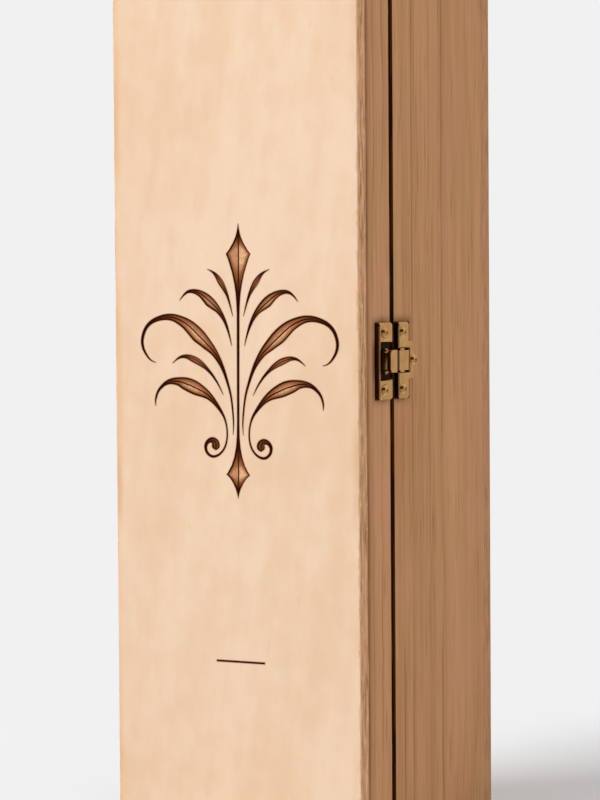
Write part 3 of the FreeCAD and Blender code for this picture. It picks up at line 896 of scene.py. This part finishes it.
@dataclass(frozen=True)
class Flourish:
    """Symmetrical palmette of curled leaves about a stem with two spear points, with a short rule below."""

    stem: Stroke = Stroke((
        (0.0, 48.2, 0.12), (0.0, 46.1, 0.8), (0.0, 44.0, 1.9), (0.0, 41.7, 4.1), (0.0, 39.4, 7.1),
        (0.0, 37.7, 10.0), (0.0, 36.0, 8.4), (0.0, 34.0, 7.0), (0.0, 30.6, 4.7), (0.0, 27.2, 3.1),
        (0.0, 23.9, 2.0), (0.0, 20.5, 1.4), (0.0, 16.4, 1.05), (0.0, -5.0, 0.95), (0.0, -22.0, 0.9),
        (0.0, -27.0, 1.15), (0.0, -30.4, 1.8), (0.0, -34.0, 3.3), (0.0, -36.8, 5.4), (0.0, -38.9, 7.9),
        (0.0, -40.1, 9.6), (0.0, -41.3, 6.7), (0.0, -42.9, 4.3), (0.0, -44.9, 2.1), (0.0, -46.9, 0.7),
        (0.0, -48.2, 0.12)), Flow.STRAIGHT, Swell.EVEN, Swell.LEFT)
    crown_leaf: Stroke = Stroke((
        (2.2, 16.0, 0.12), (2.9, 19.2, 0.5), (3.9, 22.9, 0.95), (4.8, 25.3, 1.5), (5.9, 27.6, 2.05),
        (7.1, 29.2, 2.0), (8.9, 30.8, 1.3), (10.7, 31.7, 0.6), (12.6, 32.3, 0.12)))
    upper_leaf: Stroke = Stroke((
        (2.6, 5.5, 0.12), (3.1, 8.1, 0.45), (4.0, 11.6, 0.9), (5.3, 15.0, 1.35), (6.9, 17.9, 2.1),
        (8.6, 20.2, 3.1), (10.7, 22.3, 3.75), (13.2, 23.9, 3.2), (16.0, 24.9, 2.2), (18.7, 25.2, 1.5),
        (21.0, 24.7, 1.0), (22.8, 23.3, 0.6), (24.3, 21.3, 0.12)))
    great_leaf: Stroke = Stroke((
        (2.0, -25.9, 0.12), (1.7, -20.9, 0.5), (2.5, -13.0, 0.7), (4.1, -7.0, 0.95), (6.1, -1.4, 1.55),
        (8.7, 3.5, 2.7), (11.5, 7.2, 4.2), (14.7, 10.7, 5.3), (18.6, 13.6, 4.8), (22.5, 15.3, 3.7),
        (27.0, 16.3, 2.6), (31.5, 16.0, 1.95), (36.2, 14.2, 1.45), (39.2, 11.4, 1.25), (40.7, 7.3, 1.15),
        (40.2, 3.8, 0.98), (38.2, 0.8, 0.68), (36.3, -0.6, 0.38), (34.5, -1.1, 0.12)))
    small_leaf: Stroke = Stroke((
        (6.2, -11.8, 0.12), (7.7, -8.7, 0.5), (9.9, -5.4, 0.8), (12.3, -2.7, 1.2), (14.5, -0.6, 1.9),
        (16.8, 0.9, 2.3), (19.1, 1.7, 2.1), (21.4, 2.0, 1.5), (23.7, 1.6, 0.95), (25.6, 0.5, 0.55),
        (27.3, -1.1, 0.12)))
    scroll_leaf: Stroke = Stroke((
        (9.5, -31.5, 0.5), (9.45, -31.2, 1.8), (9.4, -30.6, 2.9), (9.3, -29.8, 3.25), (9.5, -29.0, 3.0),
        (10.2, -28.3, 2.4), (11.2, -28.1, 1.9), (12.3, -28.5, 1.5), (13.15, -29.4, 1.35), (13.5, -30.7, 1.15),
        (13.05, -32.3, 1.0), (11.8, -33.5, 0.9), (10.2, -33.9, 0.85), (8.2, -33.3, 0.75), (6.5, -31.9, 0.68),
        (5.3, -30.0, 0.64), (4.65, -27.6, 0.58), (4.55, -25.0, 0.56), (4.95, -22.3, 0.6), (5.95, -19.6, 0.8),
        (7.8, -16.9, 1.25), (10.2, -14.2, 1.95), (12.7, -12.2, 2.95), (15.2, -10.9, 4.1), (17.6, -9.9, 4.9),
        (19.8, -9.05, 4.95), (22.3, -8.3, 4.4), (25.0, -7.65, 3.0), (27.7, -7.65, 2.1), (30.0, -8.3, 1.5),
        (32.0, -9.7, 1.1), (33.6, -11.6, 0.85), (34.5, -14.2, 0.65), (34.5, -16.4, 0.12)),
        swell=Swell.EVEN, burnt_length=11.0)
    rule: Stroke = Stroke(((-8.9, -106.3, 0.62), (10.9, -106.1, 0.62)), Flow.STRAIGHT, Swell.EVEN)

    def strokes(self) -> List[Stroke]:
        """Every stroke, with each leaf on both sides of the stem."""
        leaves = [self.crown_leaf, self.upper_leaf, self.great_leaf, self.small_leaf, self.scroll_leaf]
        return [self.stem, self.rule] + leaves + [leaf.mirrored() for leaf in leaves]


@dataclass
class MeshDraft:
    """Points, faces and point values of a mesh that is being put together."""

    points: List[Vector] = field(default_factory=list)
    faces: List[Tuple[int, ...]] = field(default_factory=list)
    slots: List[int] = field(default_factory=list)
    values: Dict[str, Dict[int, float]] = field(default_factory=dict)

    def point(self, place: Sequence[float], **values: float) -> int:
        """Adds a point.

        Args:
            place: where it is, in metres.
            values: what its attributes hold.

        Returns:
            Its number.
        """
        self.points.append(Vector(place))
        number = len(self.points) - 1
        for key, value in values.items():
            self.values.setdefault(key, {})[number] = value
        return number

    def ring(self, radius: float, height: float, sides: int) -> List[int]:
        """Adds points in a level ring about the upright axis, and gives their numbers."""
        angles = [2 * math.pi * side / sides for side in range(sides)]
        return [self.point((radius * math.cos(a), radius * math.sin(a), height)) for a in angles]

    def face(self, corners: Sequence[int], slot: int = 0) -> None:
        """Adds a face with a material slot."""
        self.faces.append(tuple(corners))
        self.slots.append(slot)

    def fan(self, ring: Sequence[int], hub: int) -> None:
        """Adds three-sided faces between a ring of points and one point."""
        for index, here in enumerate(ring):
            self.face((here, ring[(index + 1) % len(ring)], hub))

    def band(self, first: Sequence[int], second: Sequence[int], slot: int = 0, closed: bool = True) -> None:
        """Adds four-sided faces between two lines of points.

        Args:
            first: numbers of one line's points.
            second: numbers of the other line's points.
            slot: material slot.
            closed: whether the lines are loops.
        """
        count = len(first)
        for index in range(count if closed else count - 1):
            after = (index + 1) % count
            self.face((first[index], first[after], second[after], second[index]), slot)

    def mesh(self, name: str) -> bpy.types.Mesh:
        """Makes Blender's mesh, with its attributes.

        Args:
            name: name of the mesh.

        Returns:
            The mesh.
        """
        made = bpy.data.meshes.new(name)
        made.from_pydata(self.points, [], self.faces)
        made.polygons.foreach_set("material_index", self.slots)
        for key, held in self.values.items():
            layer = made.attributes.new(key, "FLOAT", "POINT")
            for number, value in held.items():
                layer.data[number].value = value
        made.validate()
        made.update()
        return made


@dataclass
class EngravedPanel:
    """Front panel with sanded arrises and the flourish cut into its face.

    The flourish's own sizes (halo, lift, edge and rib) are in millimetres, as its points are.
    """

    node: str = "front_panel"
    body: str = "lid"
    seed: float = 3.7
    flourish: Flourish = field(default_factory=Flourish)
    middle: Pair = (1.6 * MM, 175.0 * MM)
    lean_deg: float = 0.45
    arris: float = 0.45 * MM
    arris_sway: float = 0.30
    sanding_waves: Tuple[Triple, ...] = ((0.37, 0.0, 1.0), (0.91, 1.3, 1.0), (2.3, 0.4, 0.8))
    corner: float = 0.9 * MM
    corner_steps: int = 4
    step: float = 2.0 * MM
    depth: float = 0.34 * MM
    belly_rise: float = 0.16 * MM
    belly_widths: Pair = (1.1, 3.0)
    belly_edge: float = 0.9
    belly_rib: float = 0.35
    burnt_fullness: float = 0.44
    halo: float = 0.38
    recess_slot: int = 1
    rows: int = 6
    columns: Tuple[float, ...] = (0.0, 0.08, 0.2, 0.34, 0.44, 0.5, 0.56, 0.66, 0.8, 0.92, 1.0)
    merge_gap: float = 1e-6

    def outline(self, low: Vector, high: Vector) -> List[Tuple[Pair, Pair]]:
        """Points round the panel, each with the way that leads inward.

        Args:
            low: lowest corner of the panel.
            high: highest corner of the panel.

        Returns:
            Pairs of place and inward way, anticlockwise as seen from the front.
        """
        left, right = low.x + self.corner, high.x - self.corner
        bottom, top = low.z + self.corner, high.z - self.corner
        centres = [(right, bottom), (right, top), (left, top), (left, bottom)]
        trail = []
        for number, centre in enumerate(centres):
            for turn in range(self.corner_steps + 1):
                angle = (number - 1 + turn / self.corner_steps) * math.pi / 2
                way = (-math.cos(angle), -math.sin(angle))
                trail.append(((centre[0] - way[0] * self.corner, centre[1] - way[1] * self.corner), way))
            after = centres[(number + 1) % len(centres)]
            count = int(math.dist(centre, after) / self.step)
            for index in range(1, count):
                spot = Vector(centre).lerp(Vector(after), index / count) - Vector(way) * self.corner
                trail.append(((spot.x, spot.y), way))
        return trail

    def sanded(self, number: int) -> float:
        """Width of the arris at one point of the outline, which sways as hand sanding does."""
        sway = sum(weight * math.sin(number * pace + start) for pace, start, weight in self.sanding_waves)
        return self.arris * (1.0 + self.arris_sway * sway / sum(wave[2] for wave in self.sanding_waves))

    def shell(self, draft: MeshDraft, low: Vector, high: Vector) -> List[int]:
        """Adds the panel's back, edges and arris.

        Args:
            draft: mesh that is being put together.
            low: lowest corner of the panel.
            high: highest corner of the panel.

        Returns:
            Numbers of the points round the flat face.
        """
        bow = 1.0 - math.sqrt(0.5)
        rings: List[List[int]] = [[], [], [], []]
        for number, (spot, way) in enumerate(self.outline(low, high)):
            ease = self.sanded(number)
            insets = (0.0, 0.0, bow * ease, ease)
            depths = (high.y, low.y + ease, low.y + bow * ease, low.y)
            for ring, inset, depth in zip(rings, insets, depths):
                ring.append(draft.point((spot[0] + way[0] * inset, depth, spot[1] + way[1] * inset)))
        for outer, inner in zip(rings, rings[1:]):
            draft.band(outer, inner)
        hub = draft.point(((low.x + high.x) / 2, high.y, (low.z + high.z) / 2))
        draft.fan(rings[0][::-1], hub)
        return rings[-1]

    def cut_stroke(self, draft: MeshDraft, stroke: Stroke, face: float) -> List[int]:
        """Adds one stroke's recess and the scorched rim about it.

        Args:
            draft: mesh that is being put together.
            stroke: stroke to cut.
            face: depth of the panel's flat face.

        Returns:
            Numbers of the points round the rim, in the flat face.
        """
        rows = stroke.rows(self.rows)
        breadth, fineness = stroke.breadth(), stroke.fineness()
        last = len(rows) - 1
        halos: Tuple[List[int], List[int]] = ([], [])
        rims: Tuple[List[int], List[int]] = ([], [])
        floor: List[List[int]] = []
        travelled = 0.0
        for index, row in enumerate(rows):
            before = rows[max(index - 1, 0)]
            run = (rows[min(index + 1, last)] - before).xy.normalized()
            left = Vector((-run.y, run.x))
            overrun = run * self.halo * ((index == last) - (index == 0))
            half = row.z / 2
            middle = row.xy - left * half * stroke.swell.value
            travelled += (row.xy - before.xy).length
            for halo, rim, sign in zip(halos, rims, (1.0, -1.0)):
                outer = middle + left * sign * (half + self.halo) + overrun
                halo.append(draft.point(self.on_face(outer, face), scorch=0.0))
                rim.append(draft.point(self.on_face(middle + left * sign * half, face), scorch=1.0))
            narrow, wide = self.belly_widths
            lift = min(max((row.z - narrow) / (wide - narrow), 0.0), 1.0)
            fullness = row.z / breadth
            if travelled < stroke.burnt_length:
                fullness = min(fullness, self.burnt_fullness)
            line = []
            for share in self.columns:
                across = (0.5 - share) * row.z
                gap = half - abs(across)
                hump = min(gap / self.belly_edge, 1.0) * min(abs(across) / self.belly_rib, 1.0) * lift
                spot = self.on_face(middle + left * across, face + self.depth - self.belly_rise * hump)
                inward = -across * stroke.bright.value / fineness
                line.append(draft.point(spot, edge_gap=gap / fineness, inward=inward, along=travelled,
                                        fullness=fullness))
            floor.append(line)
        edge = halos[1] + halos[0][::-1]
        draft.band(edge, rims[1] + rims[0][::-1])
        draft.band(rims[1], [line[-1] for line in floor], self.recess_slot, closed=False)
        draft.band(rims[0][::-1], [line[0] for line in floor[::-1]], self.recess_slot, closed=False)
        draft.face([rims[1][last], rims[0][last]] + floor[last], self.recess_slot)
        draft.face([rims[0][0], rims[1][0]] + floor[0][::-1], self.recess_slot)
        for before, after in zip(floor, floor[1:]):
            draft.band(after, before, self.recess_slot, closed=False)
        return edge

    def on_face(self, spot: Vector, depth: float) -> Vector:
        """Place in the box of a point of the flourish."""
        turned = Matrix.Rotation(-math.radians(self.lean_deg), 2) @ spot
        return Vector((self.middle[0] + turned.x * MM, depth, self.middle[1] + turned.y * MM))

    def fill_face(self, draft: MeshDraft, border: List[int], holes: List[List[int]]) -> None:
        """Adds the flat face between the border and the strokes' rims.

        Args:
            draft: mesh that is being put together.
            border: numbers of the points round the face.
            holes: numbers of the points round each stroke.
        """
        loops = [border] + holes
        numbers = [number for loop in loops for number in loop]
        flat = [Vector((draft.points[number].x, draft.points[number].z)) / MM for number in numbers]
        faces, first = [], 0
        for loop in loops:
            faces.append(list(range(first, first + len(loop))))
            first += len(loop)
        result = delaunay_2d_cdt(flat, [], faces, INSIDE_FACES, self.merge_gap)
        _, _, cells, point_sources, _, cell_owners = result
        origin = [numbers[sources[0]] if sources else None for sources in point_sources]
        if None in origin:
            raise ValueError("strokes of the flourish cross each other")
        for corners, owners in zip(cells, cell_owners):
            if list(owners) == [0]:
                draft.face([origin[corner] for corner in corners])

    def build(self) -> bpy.types.Object:
        """Makes the panel and lets it stand for its CAD node.

        Returns:
            The panel's object.
        """
        low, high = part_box(self.node)
        draft = MeshDraft()
        border = self.shell(draft, low, high)
        holes = [self.cut_stroke(draft, stroke, low.y) for stroke in self.flourish.strokes()]
        self.fill_face(draft, border, holes)
        piece = mesh_piece("engraved_front_panel", draft.mesh("engraved_front_panel"))
        plywood = Plywood(name="front_plywood", face=low.y, seed=self.seed)
        dress(piece, plywood.material(), Scorched(name="engraved_wood").material())
        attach(piece, self.body)
        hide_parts(self.node)
        LOG.info("%s: %d faces, %d strokes", piece.name, len(piece.data.polygons), len(holes))
        return piece


@dataclass
class Carcass:
    """Softwood boards of both trays, and the back panel."""

    easing: Easing = Easing(0.22 * MM)
    back_easing: Easing = Easing(0.12 * MM)
    back: str = "back_panel"
    back_seed: float = 9.1
    boards: Tuple[Board, ...] = (
        Board("base_right_side", Grain.UPRIGHT, (-0.020, 0.052), 1.30),
        Board("base_left_side", Grain.UPRIGHT, (0.035, -0.090), 2.10),
        Board("base_top_end", Grain.LEVEL, (-0.300, 0.060), 3.40),
        Board("base_bottom_end", Grain.LEVEL, (0.080, -0.050), 4.60),
        Board("lid_right_rail", Grain.UPRIGHT, (0.110, 0.030), 5.20),
        Board("lid_left_rail", Grain.UPRIGHT, (-0.130, -0.110), 6.70),
        Board("lid_top_rail", Grain.LEVEL, (-0.280, -0.090), 7.90),
        Board("lid_bottom_rail", Grain.LEVEL, (0.060, 0.060), 8.30),
    )

    def dress(self) -> None:
        """Finishes every board and the back panel."""
        for board in self.boards:
            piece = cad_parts[board.node]
            dress(piece, Softwood(name=f"wood_{board.node}", board=board).material())
            self.easing.apply(piece)
            LOG.info("%s: softwood", board.node)
        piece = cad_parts[self.back]
        finish = BackPlywood(name="back_plywood", face=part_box(self.back)[1].y, seed=self.back_seed)
        dress(piece, finish.material())
        self.back_easing.apply(piece)
        LOG.info("%s: plywood", self.back)


@dataclass
class Hinges:
    """Both butt hinges with their pins and countersunk screws."""

    easing: Easing = Easing(0.12 * MM)
    plain: Tuple[str, ...] = ("upper_hinge_pin", "lower_hinge_pin", "hinge_base_screws", "hinge_lid_screws")
    leaves: Tuple[str, ...] = ("upper_hinge_base_leaf", "upper_hinge_lid_leaf", "lower_hinge_base_leaf",
                               "lower_hinge_lid_leaf")

    def dress(self, finish: bpy.types.Material) -> None:
        """Finishes the hinges.

        Args:
            finish: brass material.
        """
        for node in self.plain + self.leaves:
            dress(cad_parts[node], finish)
            if node in self.leaves:
                self.easing.apply(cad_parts[node])
            LOG.info("%s: brass", node)


@dataclass
class RoundScrews:
    """Round-headed screws that stand for one CAD node of screws in the clasp."""

    node: str
    body: str
    turns_deg: Tuple[float, ...]
    has_lobe_screw: bool
    head_radius: float = 2.0 * MM
    head_rise: float = 1.2 * MM
    rim_rise: float = 0.25 * MM
    shank_radius: float = 1.0 * MM
    tip_radius: float = 0.3 * MM
    tip_length: float = 2.0 * MM
    recess_arms: int = 4
    recess_half: float = 0.20 * MM
    recess_reach: float = 0.85 * MM
    recess_depth: float = 0.60 * MM
    recess_floor_scale: float = 0.72
    recess_top_scale: float = 1.1
    sides: int = 40
    dome_steps: int = 12
    sharp_deg: float = 35.0

    def profile(self, length: float) -> List[Pair]:
        """Radius and height along the screw, from tip to crown.

        Args:
            length: shank's length.

        Returns:
            Pairs of radius and height, where the underside of the head is at height 0.
        """
        dome = self.head_rise - self.rim_rise
        ball = (self.head_radius ** 2 + dome ** 2) / (2 * dome)
        spread = math.asin(self.head_radius / ball)
        line = [(self.tip_radius, -length), (self.shank_radius, self.tip_length - length)]
        line += [(self.shank_radius, 0.0), (self.head_radius, 0.0)]
        for step in range(self.dome_steps):
            angle = spread * (1 - step / self.dome_steps)
            line.append((ball * math.sin(angle), self.head_rise - ball * (1 - math.cos(angle))))
        return line

    def turned(self, length: float) -> bpy.types.Mesh:
        """Screw without its recess, as a turned form.

        Args:
            length: shank's length.

        Returns:
            The mesh.
        """
        draft = MeshDraft()
        rings = [draft.ring(radius, height, self.sides) for radius, height in self.profile(length)]
        for lower, upper in zip(rings, rings[1:]):
            draft.band(lower, upper)
        draft.face(rings[0][::-1])
        draft.fan(rings[-1], draft.point((0.0, 0.0, self.head_rise)))
        return draft.mesh("turned_screw")

    def recess(self) -> bpy.types.Mesh:
        """Cross-shaped driver recess, narrower at its floor.

        Returns:
            The mesh.
        """
        draft = MeshDraft()
        half, reach = self.recess_half, self.recess_reach
        arm = [(half, half), (half, reach), (-half, reach)]
        corners = []
        for _ in range(self.recess_arms):
            corners += arm
            arm = [(-y, x) for x, y in arm]
        levels = ((self.recess_floor_scale, self.head_rise - self.recess_depth),
                  (self.recess_top_scale, self.head_rise + self.rim_rise))
        floor, top = ([draft.point((x * scale, y * scale, height)) for x, y in corners]
                      for scale, height in levels)
        draft.band(floor, top)
        draft.face(floor[::-1])
        draft.face(top)
        return draft.mesh("screw_recess")

    def screw(self, length: float) -> bpy.types.Mesh:
        """One finished screw.

        Args:
            length: shank's length.

        Returns:
            Its mesh, with its head facing up.
        """
        blank = mesh_piece("screw_blank", self.turned(length))
        cutter = mesh_piece("screw_cutter", self.recess())
        cut = blank.modifiers.new("recess", "BOOLEAN")
        cut.operation = "DIFFERENCE"
        cut.solver = "EXACT"
        cut.object = cutter
        graph = bpy.context.evaluated_depsgraph_get()
        made = bpy.data.meshes.new_from_object(blank.evaluated_get(graph))
        bpy.data.objects.remove(blank)
        bpy.data.objects.remove(cutter)
        return made

    def places(self, low: Vector, high: Vector) -> List[Vector]:
        """Middles of the heads' undersides.

        Args:
            low: lowest corner of the CAD screws.
            high: highest corner of the CAD screws.

        Returns:
            One place for each screw.
        """
        seat = high.x - self.head_rise
        front = low.y + self.head_radius
        heights = (low.z + self.head_radius, high.z - self.head_radius)
        spots = [Vector((seat, front, height)) for height in heights]
        if self.has_lobe_screw:
            spots.append(Vector((seat, high.y - self.head_radius, (low.z + high.z) / 2)))
        return spots

    def build(self, finish: bpy.types.Material) -> bpy.types.Object:
        """Makes the screws and lets them stand for their CAD node.

        Args:
            finish: brass material.

        Returns:
            The screws' object.
        """
        low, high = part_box(self.node)
        screw = self.screw(high.x - self.head_rise - low.x)
        joined = bmesh.new()
        for place, turn in zip(self.places(low, high), self.turns_deg):
            copy = screw.copy()
            spin = Matrix.Rotation(math.radians(turn), 4, "Z")
            copy.transform(Matrix.Translation(place) @ Matrix.Rotation(math.pi / 2, 4, "Y") @ spin)
            joined.from_mesh(copy)
            bpy.data.meshes.remove(copy)
        mesh = bpy.data.meshes.new(f"round_{self.node}")
        joined.to_mesh(mesh)
        joined.free()
        mesh.shade_smooth()
        mesh.set_sharp_from_angle(angle=math.radians(self.sharp_deg))
        piece = mesh_piece(f"round_{self.node}", mesh)
        dress(piece, finish)
        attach(piece, self.body)
        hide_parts(self.node)
        LOG.info("%s: %d screws", piece.name, len(self.turns_deg))
        return piece


@dataclass
class Clasp:
    """Hook clasp: both plates, the lever on its rivet and the round-headed screws."""

    easing: Easing = Easing(0.16 * MM, 3)
    plates: Tuple[str, ...] = ("catch_plate", "latch_pin")
    latch: str = "latch_plate"
    lever: str = "latch_lever"
    # Band of painted shade at the lever's bend, and painted shade over the latch's knuckle barrel.
    lever_bend: Tuple[Step, Step] = (Step(-31.3 * MM, -31.0 * MM), fall(-24.8 * MM, -24.5 * MM, 0.95))
    knuckle: Step = Step(52.1 * MM, 52.6 * MM, 0.0, 0.5)
    latch_screws: RoundScrews = field(
        default_factory=lambda: RoundScrews("latch_screws", "lid", (17.0, 62.0), False))
    catch_screws: RoundScrews = field(
        default_factory=lambda: RoundScrews("catch_screws", "base", (40.0, 5.0, 71.0), True))

    def dress(self, finish: bpy.types.Material) -> None:
        """Finishes the plates and makes the screws.

        Args:
            finish: brass material of the screws.
        """
        # Plate finishes with painted shade on their walls, at the lever's bend and on the latch's barrel.
        plain = Brass(name="clasp_brass", has_painted_wall_shade=True)
        latch = Brass(name="latch_brass", has_painted_wall_shade=True, painted_barrel_shade=self.knuckle)
        lever = Brass(name="lever_brass", has_painted_wall_shade=True, painted_bend_shade=self.lever_bend)
        finishes = dict.fromkeys(self.plates, plain.material())
        finishes.update({self.latch: latch.material(), self.lever: lever.material()})
        for node, plate_finish in finishes.items():
            dress(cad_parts[node], plate_finish)
            self.easing.apply(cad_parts[node])
            LOG.info("%s: brass", node)
        self.latch_screws.build(finish)
        self.catch_screws.build(finish)


@dataclass(frozen=True)
class FloorPaint:
    """Floor that shades at the box and behind it and melts into the background elsewhere."""

    name: str
    backdrop: Colour
    paint: Colour = (0.93, 0.93, 0.94)
    paint_rough: float = 0.5
    mirrored: Colour = (0.430, 0.365, 0.325)
    ragged: Noise = Noise(60.0, 60.0)
    ragged_reach: float = 0.02
    contact_middle: Triple = (0.0, 0.035, 0.0)
    contact: Step = Step(0.070, 0.098)
    shadow_middle: Triple = (0.06, 0.16, 0.0)
    shadow: Step = Step(0.10, 0.26)

    def material(self) -> bpy.types.Material:
        """Makes the finish.

        Returns:
            The material.
        """
        graph = Graph(bpy.data.materials.new(self.name))
        path = graph.node("LightPath")
        mirror = path["Is Glossy Ray"]
        shares = [graph.math("MAXIMUM", path["Is Camera Ray"], mirror)]
        ragged = graph.product(graph.noise(self.ragged), self.ragged_reach)
        for middle, step in ((self.contact_middle, self.contact), (self.shadow_middle, self.shadow)):
            off = graph.vector("DISTANCE", graph.spot, middle, output="Value")
            shares.append(graph.rise(graph.math("ADD", off, ragged), step))
        paint = graph.node("BsdfDiffuse", {"Color": self.paint, "Roughness": self.paint_rough})
        glow = graph.node("Emission", {"Color": graph.mix(mirror, self.backdrop, self.mirrored)})
        mixed = graph.node("MixShader", {0: graph.product(*shares), 1: paint[0], 2: glow[0]})
        graph.node("OutputMaterial", {0: mixed[0]})
        return graph.made


@dataclass(frozen=True)
class Sky:
    """Background: pale to the eye, even fill light, and darker to one side in reflections."""

    name: str
    backdrop: Colour
    ambient: Colour = (0.36, 0.36, 0.36)
    mirrored: Colour = (0.680, 0.565, 0.475)
    dark: Colour = (0.010, 0.006, 0.004)
    dark_way: Triple = (0.42, -0.9075, 0.0)
    dark_step: Step = Step(0.09, 0.38)
    ceiling: Colour = (0.62, 0.60, 0.57)
    ceiling_step: Step = Step(0.55, 0.80)

    def world(self) -> bpy.types.World:
        """Makes the background.

        Returns:
            The world.
        """
        graph = Graph(bpy.data.worlds.new(self.name))
        toward = graph.vector("DOT_PRODUCT", graph.ray, self.dark_way, output="Value")
        mirror = graph.mix(graph.rise(toward, self.dark_step), self.mirrored, self.dark)
        mirror = graph.mix(graph.rise(graph.split(graph.ray)[2], self.ceiling_step), mirror, self.ceiling)
        path = graph.node("LightPath")
        colour = graph.mix(path["Is Glossy Ray"], self.ambient, mirror)
        colour = graph.mix(path["Is Camera Ray"], colour, self.backdrop)
        graph.node("OutputWorld", {0: graph.node("Background", {"Color": colour})[0]})
        return graph.made


@dataclass(frozen=True)
class SoftLamp:
    """Square soft lamp that looks at the middle of the box."""

    name: str
    place: Triple
    side: float
    watts: float
    is_mirrored: bool = True

    def build(self, target: Vector) -> None:
        """Makes the lamp.

        Args:
            target: point that it looks at.
        """
        data = bpy.data.lights.new(self.name, "AREA")
        data.shape = "SQUARE"
        data.size = self.side
        data.energy = self.watts
        lamp = bpy.data.objects.new(self.name, data)
        lamp.location = self.place
        lamp.visible_glossy = self.is_mirrored
        lamp.rotation_euler = (target - Vector(self.place)).to_track_quat("-Z", "Y").to_euler()
        bpy.context.scene.collection.objects.link(lamp)


@dataclass
class Studio:
    """Pale floor and background, soft lamps and what the brass mirrors."""

    backdrop: Colour = (0.880, 0.878, 0.885)
    floor_radius: float = 6.0
    floor_sides: int = 64
    target: Triple = (0.0, 0.0, 0.175)
    lamps: Tuple[SoftLamp, ...] = (
        SoftLamp("key_lamp", (-0.85, -2.10, 2.30), 1.75, 63.0),
        SoftLamp("fill_lamp", (2.0, -0.2, 1.2), 1.6, 16.0, is_mirrored=False),
    )

    def build(self) -> None:
        """Makes the floor, the background and the lamps."""
        draft = MeshDraft()
        draft.face(draft.ring(self.floor_radius, 0.0, self.floor_sides))
        piece = mesh_piece("studio_floor", draft.mesh("studio_floor"))
        dress(piece, FloorPaint(name="floor_paint", backdrop=self.backdrop).material())
        bpy.context.scene.world = Sky(name="studio_sky", backdrop=self.backdrop).world()
        for lamp in self.lamps:
            lamp.build(Vector(self.target))
        LOG.info("studio: %d lamps", len(self.lamps))


@dataclass
class PhotoCamera:
    """Camera at the photograph's viewing angle."""

    place: Triple = (0.58578, -1.0056, 0.211)
    yaw_deg: float = 30.331
    dip_deg: float = 2.546
    roll_deg: float = -0.388
    lens: float = 143.4
    sensor: float = 36.0

    def build(self) -> None:
        """Makes the camera and gives it to the scene."""
        yaw, dip, roll = (math.radians(a) for a in (self.yaw_deg, self.dip_deg, self.roll_deg))
        ahead = Vector((-math.sin(yaw) * math.cos(dip), math.cos(yaw) * math.cos(dip), -math.sin(dip)))
        level = Vector((math.cos(yaw), math.sin(yaw), 0.0))
        above = level.cross(ahead)
        right = level * math.cos(roll) + above * math.sin(roll)
        up = above * math.cos(roll) - level * math.sin(roll)
        data = bpy.data.cameras.new("photo_camera")
        data.lens = self.lens
        data.sensor_width = self.sensor
        camera = bpy.data.objects.new("photo_camera", data)
        turn = Matrix((right, up, -ahead)).transposed().to_4x4()
        camera.matrix_world = Matrix.Translation(self.place) @ turn
        bpy.context.scene.collection.objects.link(camera)
        bpy.context.scene.camera = camera
        LOG.info("camera: lens %.1f mm", self.lens)


def corners(bounds: Tuple[Vector, Vector]) -> List[List[float]]:
    """Lowest and highest corner as plain lists."""
    return [list(corner) for corner in bounds]


def main() -> None:
    """Builds and dresses the box, its studio and the camera."""
    logging.basicConfig(level=logging.INFO, format="%(name)s %(message)s")
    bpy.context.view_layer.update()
    bpy.context.scene.view_settings.view_transform = "Standard"
    PhotoCamera().build()
    Studio().build()
    brass = Brass(name="brass").material()
    Carcass().dress()
    EngravedPanel().build()
    Hinges().dress(brass)
    Clasp().dress(brass)


if __name__ == "__main__":
    main()
